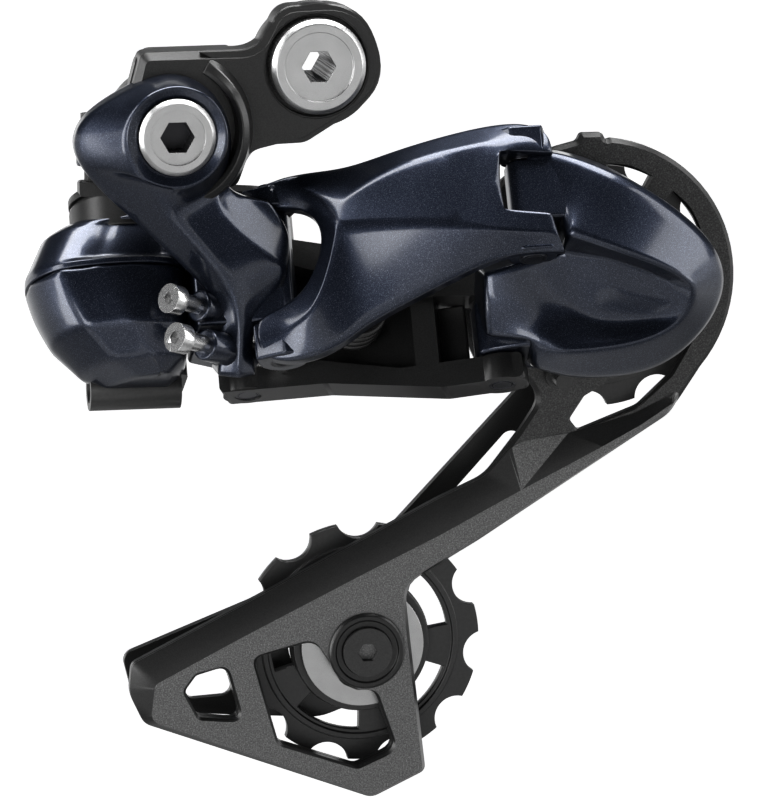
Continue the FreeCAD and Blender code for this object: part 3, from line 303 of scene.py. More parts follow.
# ---------------------------------------------------------------- looks of the CAD nodes
LOOKS = {
    "bracket_link": BLACK, "hanger_bolt": BOLT, "hanger_snap_ring": BLACK_STEEL,
    "b_axle_bolt": AXLE_BOLT, "b_axle_bush": BRONZE, "b_knuckle": PAINT, "stop_screw": BLACK_STEEL,
    "low_limit_screw": SCREW_STEEL, "high_limit_screw": SCREW_STEEL, "motor_housing_lower": PAINT,
    "motor_housing_upper": PAINT, "housing_gasket": RUBBER, "gear_cover": BLACK,
    "housing_screws": BLACK_STEEL, "plug_socket": RESIN, "plug_contacts": BRONZE,
    "circuit_board": BOARD, "motor_can": MOTOR_CASE, "motor_end_cap": RESIN,
    "motor_pinion": PIN_STEEL, "reduction_gear": PIN_STEEL, "reduction_pin": PIN_STEEL,
    "output_gear": PIN_STEEL, "knuckle_outer_pin": DARK_PIN, "knuckle_inner_pin": DARK_PIN,
    "outer_link": PAINT, "outer_link_bushes": DARK_PIN, "inner_link": BLACK,
    "inner_link_bushes": DARK_PIN, "saver_spring": BLACK_STEEL, "saver_post": BLACK,
    "p_knuckle": PAINT, "cage_outer_pin": DARK_PIN, "cage_inner_pin": DARK_PIN,
    "axle_bush": BRONZE, "seal_ring": RUBBER, "cage_spring": BLACK_STEEL,
    "cage_outer_plate": PLATE, "cage_inner_plate": PLATE_BLACK_AND_BEVEL_SHADE, "cage_axle": PIN_STEEL,
    "cage_axle_bolt": BLACK_STEEL, "cage_stop_pin": BLACK_STEEL, "guide_bolt": BLACK_STEEL,
    "tension_bolt": BLACK_STEEL, "guide_bush": PIN_STEEL, "tension_bush": PIN_STEEL,
    "guide_dust_caps": CAP_STEEL, "tension_dust_caps": CAP_STEEL, "guide_pulley": RESIN,
    "tension_pulley": RESIN, "bearing_outer_race": PIN_STEEL, "bearing_inner_race": PIN_STEEL,
    "bearing_balls": PIN_STEEL,
}

# edge roundings in millimetres; every other node gets the small one
BEVELS = {"bracket_link": 0.5, "inner_link": 0.5, "cage_inner_plate": 0.4, "plug_socket": 0.4,
          "gear_cover": 0.6, "guide_pulley": 0.2, "tension_pulley": 0.2}
SMALL_BEVEL = 0.12
WELD_REACH = 0.002


def bevel_edges(piece, width, segments=2, degrees=25):
    """Rounds a piece's edges that are sharper than an angle; width is in millimetres."""
    bevel = piece.modifiers.new("edge", "BEVEL")
    bevel.width = width * MM
    bevel.segments = segments
    bevel.limit_method = "ANGLE"
    bevel.angle_limit = math.radians(degrees)
    bevel.harden_normals = True


def dress_cad_nodes():
    """Gives each CAD node its material and rounded edges."""
    for name, node in NODES.items():
        node.data.materials.clear()
        node.data.materials.append(LOOKS[name])
        weld = node.modifiers.new("weld", "WELD")
        weld.merge_threshold = WELD_REACH * MM
        bevel_edges(node, BEVELS.get(name, SMALL_BEVEL), 3, 30)


# ---------------------------------------------------------------- outlines
def arc(centre, radius, start, end, steps):
    """Points on an arc about centre, between angles in degrees from +X towards +Z."""
    line = []
    for step in range(steps + 1):
        turn = math.radians(start + (end - start) * step / steps)
        line.append(Vector((centre[0] + radius * math.cos(turn), centre[1] + radius * math.sin(turn))))
    return line


def circle(centre, radius, steps):
    """Closed ring of points about centre; the first point isn't repeated."""
    return arc(centre, radius, 0, 360 - 360 / steps, steps - 1)


def rounded(points, steps=5):
    """Polyline round (x, z, corner radius) points."""
    line = []
    for index, (x, z, radius) in enumerate(points):
        corner = Vector((x, z))
        before = Vector(points[index - 1][:2]) - corner
        after = Vector(points[(index + 1) % len(points)][:2]) - corner
        room = 0.48 * min(before.length, after.length)
        setback = min(radius / math.tan(before.angle(after) / 2), room)
        if setback < 0.05:
            line.append(corner)
            continue
        start = corner + before.normalized() * setback
        end = corner + after.normalized() * setback
        for step in range(steps + 1):
            t = step / steps
            line.append(start * (1 - t) ** 2 + corner * 2 * t * (1 - t) + end * t ** 2)
    return line


def slot_loop(centre, near, far, start, end):
    """Curved slot between two radii about a centre, as one closed loop."""
    return arc(centre, far, end, start, 8) + arc(centre, near, start, end, 8)


def inset(line, amount):
    """Loop moved inward by amount, for a narrow bevel; the loop runs clockwise."""
    moved = []
    count = len(line)
    for index, spot in enumerate(line):
        along = (line[(index + 1) % count] - line[index - 1]).normalized()
        moved.append(spot + Vector((along.y, -along.x)) * amount)
    return moved


def belt_ring(first, first_radius, second, second_radius, up):
    """Outline like a belt round two wheels whose axles run along the link pins."""
    heading = math.degrees(math.atan2(second.y - first.y, second.x - first.x))
    spots = arc(second, second_radius, heading - 90, heading + 90, 16)
    spots += arc(first, first_radius, heading + 90, heading + 270, 16)
    return [deck(spot.x, spot.y, up) for spot in spots]


def turned_rings(centre, profile):
    """Rings about a line along Y through centre, from (radius, depth) pairs."""
    return [[centre + space(spot.x, y, spot.y) for spot in circle((0, 0), radius, 48)]
            for radius, y in profile]


# ---------------------------------------------------------------- mesh helpers
# crease weight of a shell's rear rim and of its kept corners
SHARP = 0.85
# least Y of a unit normal for a face to count as flat
FLAT_FACE = 0.97


def add_piece(mesh, materials, body, slot_name, *replaced):
    """Adds a mesh as a piece of its name that rides on a body and stands for CAD nodes."""
    piece = bpy.data.objects.new(mesh.name, mesh)
    bpy.context.scene.collection.objects.link(piece)
    for material in materials:
        mesh.materials.append(material)
    for polygon in mesh.polygons:
        polygon.use_smooth = True
    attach(piece, body)
    if replaced:
        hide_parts(*replaced)
    return piece


def round_off(piece):
    """Subdivides a sculpted piece so that only its creases stay sharp."""
    smooth = piece.modifiers.new("round", "SUBSURF")
    smooth.levels = 3
    smooth.render_levels = 3


def closed_mesh(name, form):
    """Mesh from a closed form, with its faces turned outward."""
    bmesh.ops.recalc_face_normals(form, faces=form.faces)
    mesh = bpy.data.meshes.new(name)
    form.to_mesh(mesh)
    form.free()
    return mesh


def mark_creases(form, layer, verts, creases):
    """creases holds (weight, "label label ...") chains."""
    for weight, chain in creases:
        labels = chain.split()
        for first, second in zip(labels, labels[1:]):
            edge = form.edges.get((verts[first], verts[second]))
            edge[layer] = max(edge[layer], weight)


def shell_mesh(name, place, points, rear, faces, creases, corners, rim):
    """Closed shell: a sculpted front from labelled points, a rear copy at its own depth, and walls.

    points maps a label to (across, up, depth); rear maps a label to the depth of its rear copy;
    corners names the points where the outline keeps a sharp corner; rim is the front edge's crease.
    """
    form = bmesh.new()
    layer = form.edges.layers.float.new("crease_edge")
    front = {label: form.verts.new(place(*spot)) for label, spot in points.items()}
    back = {label: form.verts.new(place(spot[0], spot[1], rear[label])) for label, spot in points.items()}
    for row in faces:
        labels = row.split()
        form.faces.new([front[label] for label in labels])
        form.faces.new([back[label] for label in reversed(labels)])
    twin = {front[label]: back[label] for label in points}
    borders = [edge for edge in form.edges if len(edge.link_faces) == 1 and edge.verts[0] in twin]
    for edge in borders:
        first, second = edge.verts
        form.faces.new((first, second, twin[second], twin[first]))
        edge[layer] = rim
        form.edges.get((twin[first], twin[second]))[layer] = SHARP
    for label in corners.split():
        form.edges.get((front[label], back[label]))[layer] = SHARP
    mark_creases(form, layer, front, creases)
    return closed_mesh(name, form)


def loft_mesh(name, rings, creases=(), columns=()):
    """Closed skin through rings of equal length.

    creases holds (ring index, weight); columns holds (place in the ring, first ring, last ring, weight).
    """
    form = bmesh.new()
    layer = form.edges.layers.float.new("crease_edge")
    rows = [[form.verts.new(spot) for spot in ring] for ring in rings]
    count = len(rows[0])
    for lower, upper in zip(rows, rows[1:]):
        for i in range(count):
            j = (i + 1) % count
            form.faces.new((lower[i], lower[j], upper[j], upper[i]))
    form.faces.new(list(reversed(rows[0])))
    form.faces.new(rows[-1])
    for index, weight in creases:
        row = rows[index]
        for i in range(count):
            form.edges.get((row[i], row[(i + 1) % count]))[layer] = weight
    for place, first, last, weight in columns:
        for level in range(first, last):
            form.edges.get((rows[level][place], rows[level + 1][place]))[layer] = weight
    return closed_mesh(name, form)


def tube_mesh(name, rings):
    """Hollow skin through rings of equal length, whose last ring joins the first."""
    form = bmesh.new()
    grid = [[form.verts.new(spot) for spot in ring] for ring in rings]
    for level, ring in enumerate(grid):
        below = grid[level - 1]
        for step in range(len(ring)):
            form.faces.new((below[step - 1], below[step], ring[step], ring[step - 1]))
    return closed_mesh(name, form)


def add_loop(form, line, y):
    """Closed chain of edges at one depth."""
    verts = [form.verts.new(space(spot.x, y, spot.y)) for spot in line]
    return [form.edges.new((verts[i - 1], verts[i])) for i in range(len(verts))]


def cut_window(form, window, face_y, back_y, chamfer):
    """Walls of a window with a chamfered mouth; returns its front and back loops."""
    centre = sum(window, Vector((0, 0))) / len(window)
    wide = [spot + (spot - centre).normalized() * chamfer for spot in window]
    mouth = add_loop(form, wide, face_y)
    throat = add_loop(form, window, face_y + chamfer)
    rear = add_loop(form, window, back_y)
    bmesh.ops.bridge_loops(form, edges=mouth + throat)
    bmesh.ops.bridge_loops(form, edges=throat + rear)
    return mouth, rear


def plate_mesh(name, edge, face, windows, depths, chamfer=0.5):
    """Plate in X and Z whose front face is smaller than its edge, so that a bevel runs between them.

    edge and face are loops; depths holds Y of the face, of the bevel's foot and of the back. Flat
    faces take the first material, bevels and walls the second.
    """
    face_y, foot_y, back_y = depths
    form = bmesh.new()
    fronts = add_loop(form, face, face_y)
    foot = add_loop(form, edge, foot_y)
    backs = add_loop(form, edge, back_y)
    bmesh.ops.bridge_loops(form, edges=fronts + foot)
    bmesh.ops.bridge_loops(form, edges=foot + backs)
    for window in windows:
        mouth, rear = cut_window(form, window, face_y, back_y, chamfer)
        fronts += mouth
        backs += rear
    bmesh.ops.triangle_fill(form, use_beauty=True, edges=fronts)
    bmesh.ops.triangle_fill(form, use_beauty=True, edges=backs)
    for polygon in form.faces:
        polygon.material_index = 0 if abs(polygon.normal.y) > FLAT_FACE else 1
    return closed_mesh(name, form)


# ---------------------------------------------------------------- bracket
BRACKET_EDGE = [
    (8, 10.4, 9), (-6, 9.9, 4), (-9.5, 2.9, 6), (-29.4, 2.6, 1.6), (-31.4, -5, 4), (-33.6, -12, 3),
    (-24, -19, 3), (-13.5, -20.4, 2), (-10.9, -13.4, 5), (-2, -13.0, 4), (12.7, -4, 9),
]
BRACKET_FACE = [
    (7.6, 9.4, 8.4), (-5.6, 8.9, 4), (-9.2, 1.5, 6), (-28.6, 1.4, 1.2), (-30.2, -5, 4), (-32, -11.6, 3),
    (-24, -17.8, 3), (-14.1, -19.2, 2), (-11.9, -14.2, 5), (-2.2, -12.0, 4), (11.7, -3.8, 8.4),
]
HANGER_HOLE = 8.6
AXLE_HOLE = 4.4
# Y of the plate's face, of its bevel's foot and of its back
BRACKET_DEPTHS = (-6.6, -5.4, 0.0)

# collar round the axle bolt: radius and height over its foot
CUP_FOOT = -6.4
CUP_PROFILE = [(10.9, 0), (10.9, 4.0), (11.7, 4.6), (12.9, 3.8), (14.0, 0)]
CUP_START = -78
CUP_SWEEP = 138
CUP_STEPS = 24
# the collar slopes down from one angle and would reach the plate at the other
SLOPE_FROM = 30
SLOPE_END = 64


def make_bracket():
    axle = (B_AXLE.x / MM, B_AXLE.z / MM)
    holes = [circle((0, 0), HANGER_HOLE, 24), circle(axle, AXLE_HOLE, 24)]
    mesh = plate_mesh("bracket_shell", rounded(BRACKET_EDGE, 8), rounded(BRACKET_FACE, 8), holes,
                      BRACKET_DEPTHS, 0.4)
    plate = add_piece(mesh, [BLACK], "bracket", "black_anodised")
    bevel_edges(plate, 0.5)


def make_bracket_cup():
    """Collar that slopes down towards the plate over the last part of its sweep."""
    rings = []
    for step in range(CUP_STEPS + 1):
        degrees = CUP_START + CUP_SWEEP * step / CUP_STEPS
        turn = math.radians(degrees)
        rise = min(1.0, (SLOPE_END - degrees) / (SLOPE_END - SLOPE_FROM))
        heading = Vector((math.cos(turn), 0, math.sin(turn)))
        rings.append([B_AXLE + (heading * radius + Vector((0, CUP_FOOT - height * rise, 0))) * MM
                      for radius, height in CUP_PROFILE])
    cup = add_piece(loft_mesh("bracket_cup", rings), [BLACK], "bracket", "black_anodised")
    bevel_edges(cup, 0.5)


# ---------------------------------------------------------------- outer link
# t top edge, r ridge, n notch at the far end, c lower crease, b bottom edge, w window, e near end,
# k and p folds between the window and the near end: millimetres along, up and outward
LINK_POINTS = {
    "t0": (-3.7, 27.6, 3.4), "t1": (1.5, 29.2, 4.4), "t2": (8, 29.5, 4.4), "t3": (14, 29.3, 4.2),
    "t4": (21, 30.9, 4.0), "t5": (28, 32.3, 3.8), "t6": (38, 33.7, 3.2), "t7": (45, 33.5, 2.6),
    "t8": (48.7, 31.0, 2.2),
    "r2": (7.0, 25.6, 6.6), "r3": (13.6, 22.4, 8.0), "r4": (20.7, 26.4, 8.0), "r5": (30.5, 28.4, 7.4),
    "r6": (40.5, 29.4, 6.4), "r7": (47, 29.4, 4.2),
    "n1": (48.8, 27.2, 2.8), "n2": (40.4, 27.7, 6.2), "n3": (39.7, 22, 6.8), "n4": (40.2, 17.0, 6.8),
    "n5": (47.8, 15.9, 4.6),
    "c1": (12.6, 18.0, 9.0), "c2": (22.6, 16.6, 9.0), "c3": (32, 14.8, 8.4), "c4": (40.2, 13.0, 7.2),
    "c5": (48.4, 12.4, 4.2),
    "b1": (15, 1.6, 3.6), "b2": (22, 4.2, 4.0), "b3": (30, 7.0, 4.4), "b4": (38, 9.6, 4.4),
    "b5": (44, 10.0, 3.6), "b6": (49.1, 9.6, 2.4),
    "w0": (-3.7, 24.2, 3.2), "w1": (3.2, 24.2, 4.0), "w2": (7.6, 22.4, 4.6), "w3": (9.4, 18.2, 5.2),
    "w4": (8.2, 13.2, 5.0), "w5": (4.6, 7.6, 4.6), "w6": (0, 6.0, 4.6), "w7": (-3.4, 4.8, 4.0),
    "e1": (-3.8, 1.4, 4.0), "e2": (-2.6, -2.0, 3.4), "e3": (2.0, -3.3, 3.6), "e4": (8, -2.4, 3.4),
    "e5": (12.6, 0.0, 3.4),
    "k2": (10.6, 11.6, 7.8), "k3": (7.0, 3.6, 6.6), "p0": (1.2, 1.6, 5.2),
}
LINK_FACES = [
    "w0 w1 t1 t0", "w1 w2 r2 t1", "t1 r2 t2", "r2 r3 t3 t2", "r3 r4 t4 t3", "r4 r5 t5 t4", "r5 r6 t6 t5",
    "r6 r7 t7 t6", "r7 n1 t8 t7", "n2 n1 r7 r6", "w2 w3 c1 r2", "r2 c1 r3", "c1 c2 r4 r3", "c2 c3 r5 r4",
    "c3 c4 n4 n3", "c3 n3 r5", "r5 n3 n2 r6", "c4 c5 n5 n4", "c3 c4 b4 b3", "c4 c5 b5 b4", "c5 b6 b5",
    "c2 c3 b3 b2", "c1 c2 b2 b1", "c1 k2 e5 b1", "k2 k3 e4 e5", "w3 w4 k2 c1", "w4 w5 k3 k2",
    "w6 w7 e1 p0", "e1 e2 e3 p0", "p0 e3 e4 k3", "p0 k3 w5 w6",
]
LINK_CREASES = [
    (0.9, "r2 r3 r4 r5 r6"), (1.0, "c1 c2 c3 c4"), (1.0, "r3 c1 k2 k3"), (0.7, "c4 c5"),
    (0.7, "k3 p0"), (1.0, "n2 n3 n4"), (0.8, "n4 n5"), (0.9, "n1 n2"),
]
LINK_CORNERS = "t0 w0 n1 n2 n4 n5 b6"
# the shell is thinner towards the far pin
THIN_FROM = 36
LINK_THICK = 2.8
LINK_THIN = 1.6


def make_outer_link():
    rear = {label: out - (LINK_THIN if along > THIN_FROM else LINK_THICK)
            for label, (along, up, out) in LINK_POINTS.items()}
    mesh = shell_mesh("outer_link_shell", link_place, LINK_POINTS, rear, LINK_FACES, LINK_CREASES,
                      LINK_CORNERS, 0.85)
    round_off(add_piece(mesh, [PAINT], "outer_link", "painted", "outer_link"))


EAR_RADIUS = 4.2
# pin's place along the link, lean of the neck, heights of the foot and of the top up the pin
EARS = {"near_low": (0, 1, -2.0, 4.4), "near_high": (0, 1, 24.6, 28.4),
        "far_low": (LINK_LENGTH, -1, 10.2, 15.8), "far_high": (LINK_LENGTH, -1, 27.6, 32.4)}


def ear_ring(along, lean, up):
    """Outline of a link ear round its pin, with a neck that runs outward to the shell."""
    spots = [(along + spot.x, spot.y) for spot in arc((0, 0), EAR_RADIUS, 180, 360, 8)]
    spots += [(along + EAR_RADIUS, 3.4), (along + lean, 4.6), (along - EAR_RADIUS, 3.4)]
    return [link(a, n, up) for a, n in spots]


def make_ears():
    for label, (along, lean, low, high) in EARS.items():
        rings = [ear_ring(along, lean, up) for up in (low, low + 0.5, high - 0.5, high)]
        ear = add_piece(loft_mesh("link_ear_" + label, rings), [PAINT], "outer_link", "painted")
        bevel_edges(ear, 0.5)


# ---------------------------------------------------------------- lower knuckle
# a upper edge, c crown round the hollow, d lower edge, e near edge, v and u slope into the hollow,
# l and m its floor: X, Z and Y in millimetres
P_POINTS = {
    "a0": (33.2, -14.6, -12.8), "a1": (33.2, -24.4, -16.8), "a1b": (39.6, -25.4, -17.6),
    "a2": (39.1, -14.4, -12.4), "a3": (47.6, -17.2, -17.0), "a4": (55.4, -21.2, -16.6),
    "a5": (62.5, -26.4, -15.6), "a6": (67.4, -31.5, -14.6), "a7": (69.2, -36.8, -13.6),
    "c0": (39.8, -27.2, -21.4), "c1": (46, -29.5, -23.0), "c2": (53, -32, -22.6),
    "c3": (59, -34.6, -21.4), "c4": (62.2, -37.3, -19.8), "c5": (61.7, -40.4, -19.0),
    "c5b": (59.7, -43.3, -19.0), "c6": (56, -45.3, -19.4), "c7": (50, -46.7, -20.2),
    "c8": (42.3, -47.5, -20.6), "c9": (36.0, -47.5, -20.2),
    "d1": (68.2, -41.5, -13.4), "d2": (65.1, -46.6, -13.4), "d3": (58.7, -52.0, -13.4),
    "d4": (50, -53.5, -14.6), "d5": (41, -53.0, -15.2), "d6": (35.4, -51.0, -15.4),
    "e1": (34.2, -45.6, -18.6), "e2": (27.4, -45.4, -15.4), "e3": (26.6, -39.4, -16.4),
    "e4": (26.8, -34.4, -15.8), "e5": (31.5, -32.8, -17.2), "e6": (39.6, -31.0, -17.2),
    "v1": (46.4, -31.4, -19.0), "v2": (53.2, -34.0, -18.6), "v3": (59.0, -36.8, -18.6),
    "u1": (46, -36.0, -18.8), "u2": (52, -38.2, -18.8), "u3": (57.6, -39.6, -18.8),
    "l0": (36.5, -42.6, -18.6), "l1": (43.4, -43.4, -16.6), "l2": (50.4, -43.4, -16.8),
    "l3": (56.2, -42.4, -17.4), "m1": (40.5, -37.5, -16.4), "m0": (34.0, -37.6, -18.4),
}
P_FACES = [
    "a0 a2 a1b a1", "a2 a3 c0 a1b", "a3 a4 c1 c0", "a4 a5 c2 c1", "a5 a6 c3 c2", "a6 a7 c4 c3",
    "a7 d1 c5 c4", "d1 d2 c5b c5", "d2 d3 c6 c5b", "d3 d4 c7 c6", "d4 d5 c8 c7", "d5 d6 c9 c8",
    "c0 c1 v1 e6", "c1 c2 v2 v1", "c2 c3 v3 v2", "c3 c4 v3", "v3 c4 c5 u3", "v1 v2 u2 u1", "v2 v3 u3 u2",
    "e6 v1 u1 m1", "c5 c5b l3 u3", "c5b c6 l2 l3", "c6 c7 l1 l2", "c7 c8 l0 l1", "c8 c9 l0",
    "u1 u2 l2 l1", "u2 u3 l3 l2", "m1 u1 l1", "m1 l1 l0 m0", "e6 m1 m0 e5", "e4 e5 m0 e3", "e3 m0 l0",
    "e3 l0 e1 e2", "l0 c9 e1", "c9 d6 e1",
]
P_CREASES = [
    (1.0, "c0 c1 c2 c3"), (0.85, "c3 c4 c5 c5b c6 c7 c8 c9"), (0.9, "v1 v2 v3"), (0.5, "e6 v1"),
    (0.9, "a1 a1b c0"), (0.6, "a0 a1"), (0.5, "u1 u2 u3"),
]
P_CORNERS = "a1 a1b e6 e4 e2 e1 d6"
# depths of the rear copy where they aren't the open one
P_REAR = {"a0": -10, "a1": -12, "a1b": -9, "a2": -9, "e1": -2, "e2": -4, "e3": -6, "e4": -8, "e5": -10,
          "e6": -9}
P_REAR_OPEN = -1.2
# radius and depth from the cage axle
BARREL_PROFILE = [(10.2, -2.0), (11.3, -1.4), (11.5, -0.6), (11.5, 2.2), (11.0, 2.9), (9.4, 3.0)]


def make_lower_knuckle():
    rear = {label: P_REAR.get(label, P_REAR_OPEN) for label in P_POINTS}
    mesh = shell_mesh("lower_knuckle_shell", side_place, P_POINTS, rear, P_FACES, P_CREASES, P_CORNERS, 0.7)
    round_off(add_piece(mesh, [PAINT], "lower_knuckle", "painted", "p_knuckle"))
    mesh = loft_mesh("lower_knuckle_barrel", turned_rings(CAGE_AXLE, BARREL_PROFILE))
    bevel_edges(add_piece(mesh, [PAINT], "lower_knuckle", "painted"), 0.2)


# ---------------------------------------------------------------- upper knuckle
# o edge round the axle bolt, l and x edges of the arm, m its middle fold, y lobe towards the link,
# z and w single folds: X, Z and Y in millimetres
B_POINTS = {
    "o0": (-14.2, -11.0, -9.5), "o1": (-17.4, -3.0, -9.5), "o2": (-24.8, 0.2, -9.5),
    "o3": (-32.2, -3.0, -9.5), "o4": (-41.0, -8.2, -6.5), "o5": (-41.4, -15.8, -6.5),
    "o6": (-31.0, -25.2, -8.0), "o7": (-15.8, -18.0, -9.0),
    "l1": (-23.8, -32.2, -8.5), "l2": (-17.8, -38.4, -9.5), "l3": (-16.4, -42.8, -10),
    "l4": (-17.6, -51.4, -10.5),
    "x1": (-19.2, -23.0, -10.5), "x3": (-5.6, -33.8, -10.0), "x4": (-6.4, -38.6, -9.0),
    "x5": (-11.0, -42, -10.5), "x6": (-11.9, -46, -10.8), "x7": (-11.2, -51.4, -10.8),
    "y1": (-14.6, -21.4, -6.5), "y2": (-8.0, -22.9, -5.3), "y3": (-4.0, -28.2, -6.0),
    "m0": (-25.4, -23.4, -13.0), "m1": (-20.4, -29.4, -12.8), "m2": (-15.6, -35.0, -12.8),
    "m3": (-13.8, -41, -13.2), "m4": (-14.4, -51.6, -13.2), "z1": (-13.4, -31.0, -11.4),
    "w1": (-31.6, -16.6, -13.4),
}
B_FACES = [
    "r5 w1 o5", "r5 r6 w1", "w1 r6 m0", "o5 w1 o6", "w1 m0 o6",
    "r6 r7 o7 m0", "o6 m0 m1 l1", "m0 o7 x1", "m0 x1 z1 m1", "l1 m1 m2 l2", "x1 x3 z1", "m1 z1 m2",
    "m2 z1 x3 x4", "m2 x4 x5 m3", "l2 m2 m3 l3", "l3 m3 m4 l4", "m3 x5 x6", "m3 x6 x7 m4",
    "x1 y1 y3 x3", "y1 y2 y3", "o7 y1 x1",
]
B_CREASES = [
    (0.6, "r0 r1 r2 r3 r4 r5 r6 r7 r0"), (0.4, "m0 m1 m2 m3 m4"), (0.9, "x1 x3"), (0.6, "r5 w1 m0"),
    (0.7, "o7 x1"),
]
B_CORNERS = "l4 x7 y2"
# depths of the rear copy where they aren't the open one
B_REAR = {"l3": -2, "l4": -2, "x5": -2, "x6": -2, "x7": -2, "m3": -2, "m4": -2, "y2": -4.3}
B_REAR_OPEN = -3.4
# radius and depth of the rings round the axle bolt
B_HOLE_RING = (7.0, -14.8)
B_RIM_RING = (9.3, -15.6)
RING_SIDES = 8
# sides of the ring where the arm leaves it
ARM_SIDES = (5, 6)


def axle_points(prefix, radius, depth):
    """Labelled points of a ring round the axle bolt."""
    ring = circle((B_AXLE.x / MM, B_AXLE.z / MM), radius, RING_SIDES)
    return {prefix + str(step): (spot.x, spot.y, depth) for step, spot in enumerate(ring)}


def make_upper_knuckle():
    points = dict(B_POINTS)
    points.update(axle_points("h", *B_HOLE_RING))
    points.update(axle_points("r", *B_RIM_RING))
    faces = list(B_FACES)
    for step in range(RING_SIDES):
        after = (step + 1) % RING_SIDES
        faces.append(f"h{step} h{after} r{after} r{step}")
        if step not in ARM_SIDES:
            faces.append(f"r{step} r{after} o{after} o{step}")
    rear = {label: B_REAR.get(label, B_REAR_OPEN) for label in points}
    mesh = shell_mesh("upper_knuckle_shell", side_place, points, rear, faces, B_CREASES, B_CORNERS, 0.65)
    round_off(add_piece(mesh, [PAINT], "knuckle", "painted", "b_knuckle"))


# ---------------------------------------------------------------- lugs, dark sheet of painted shade and screw bosses
# outlines along and outward from the near pin
LUG_OUTER = [(3.3, 0), (2.3, 2.3), (0, 3.3), (-2.6, 2.8), (-14.2, 1.0), (-14.2, -5), (-1, -3.3),
             (2.3, -2.3)]
LUG_INNER = [(-0.8, -16), (-2, -13.5), (-8, -3), (-14.2, -2), (-14.2, -14), (-7, -19), (-4, -19.2),
             (-1.7, -18.3)]
# outlines of the lower knuckle's lugs, from each far pin
LUG_FAR_OUTER = [(-3.2, -1.6), (-3.2, 1.6), (-1.8, 2.9), (9, 2.9), (9, -9), (-1.8, -3.2)]
LUG_FAR_INNER = [(-3.9, -2.0), (-3.9, 2.6), (-2.4, 4.0), (3, 6.5), (13, 6.5), (13, -7.6), (3, -5),
                 (-2, -3.6)]
# dark sheet that stands in for the shade in the gap beside the inner link's far pin: outline along and
# outward in the inner link's frame, and the heights of its ends
SHADE_SHEET_OUTLINE = [(32.8, -3.2), (38.2, -3.2), (38.2, -2.0), (32.8, -2.0)]
SHADE_SHEET_ENDS = (-3.4, 9.4)
# piece, joint of its screw, start and end along the screw
SCREW_BOSSES = [("low_limit_boss", "low_limit_turn", 4.5, 15),
                ("high_limit_boss", "high_limit_turn", 4.5, 15),
                ("stop_boss", "stop_screw_turn", -1.5, 3.9)]
BOSS_RADIUS = 2.7


def make_lug(name, outline, low, high, body):
    """Prism up the link pins with softened ends."""
    rings = [[deck(a, n, up) for a, n in outline] for up in (low, high)]
    bevel_edges(add_piece(loft_mesh(name, rings), [PAINT], body, "painted"), 0.7)


def make_far_lugs():
    outer = deck_spot("lower_knuckle_swing")
    inner = outer + deck_spot("inner_link_swing")
    for label, pin, outline, low, high in (("outer", outer, LUG_FAR_OUTER, 16.3, 26.9),
                                           ("inner", inner, LUG_FAR_INNER, -1.9, 7.7)):
        spots = [(pin.x + a, pin.y + n) for a, n in outline]
        make_lug("lower_lug_" + label, spots, low, high, "lower_knuckle")


def make_link_web():
    """Thin black sheet beside the inner link's far pin that paints the shade of the gap there."""
    near = deck_spot("inner_link_swing")
    shift = (ALONG * near.x + OUTWARD * near.y) * MM
    rings = [[link(a, n, up) + shift for a, n in SHADE_SHEET_OUTLINE] for up in SHADE_SHEET_ENDS]
    # black sheet of painted shade where only a shaded gap is
    dark_sheet = add_piece(loft_mesh("inner_link_shade_sheet", rings), [BLACK], "inner_link", "black_anodised")
    bevel_edges(dark_sheet, 0.4)


def make_boss(name, start, axis, near, far):
    """Boss with a rounded rim round a screw; near and far run along its axis."""
    side = axis.cross(Vector((0, 0, 1) if abs(axis.z) < 0.9 else (1, 0, 0))).normalized()
    other = axis.cross(side)
    profile = ((near, 0.5), (near, 0.1), (near + 0.4, 0), (far, 0), (far + 0.5, 0.6))
    rings = [[start + (axis * reach + side * spot.x + other * spot.y) * MM
              for spot in circle((0, 0), BOSS_RADIUS - narrower, 32)] for reach, narrower in profile]
    add_piece(loft_mesh(name, rings), [PAINT], "knuckle", "painted")


def make_near_lugs():
    make_lug("knuckle_lug_outer", LUG_OUTER, 4.7, 24.3, "knuckle")
    make_lug("knuckle_lug_inner", LUG_INNER, 3.3, 19.7, "knuckle")


def make_screw_bosses():
    for name, joint, near, far in SCREW_BOSSES:
        make_boss(name, joint_point(joint), Vector(JOINTS[joint]["axis"]).normalized(), near, far)


# ---------------------------------------------------------------- shift unit's housing
# up, left end, right end, front, back, depth of the panel sunk into the front
LOWER_LEVELS = [
    (-0.8, -29.0, -18.0, -6.0, -19.0, 0), (1.2, -33.5, -15.4, -2.6, -22.0, 0),
    (6.3, -38.2, -14.6, 0.2, -23.4, 0), (11.5, -40.8, -14.4, 0.8, -24.0, 0),
    (16.1, -41.8, -14.4, 1.2, -24.0, 0),
]
UPPER_LEVELS = [
    (16.3, -41.8, -14.4, 1.2, -24.0, 0), (17.3, -41.8, -14.4, 1.15, -24.0, 0),
    (18.2, -41.7, -14.4, 1.0, -24.0, 1.9), (24.8, -38.6, -15.0, -1.4, -24.0, 1.5),
    (25.8, -37.6, -15.4, -2.2, -23.8, 0), (28.6, -34.2, -16.2, -5.0, -23.0, 0),
    (30.5, -29.4, -18.0, -7.5, -20.0, 0),
]
# ring of levels and its crease weight
LOWER_RINGS = [(0, 0.6), (1, 0.7), (2, 0.8), (4, 0.95)]
UPPER_RINGS = [(0, 0.95), (1, 0.9), (2, 0.9), (3, 0.9), (4, 0.8), (6, 0.6)]
# corner of the ring, first and last level, crease weight
LOWER_COLUMNS = [(3, 0, 4, 0.5)]
UPPER_COLUMNS = [(2, 0, 5, 0.9)]
COVERED_BY_LOWER = ("motor_housing_lower", "housing_gasket", "housing_screws", "circuit_board")

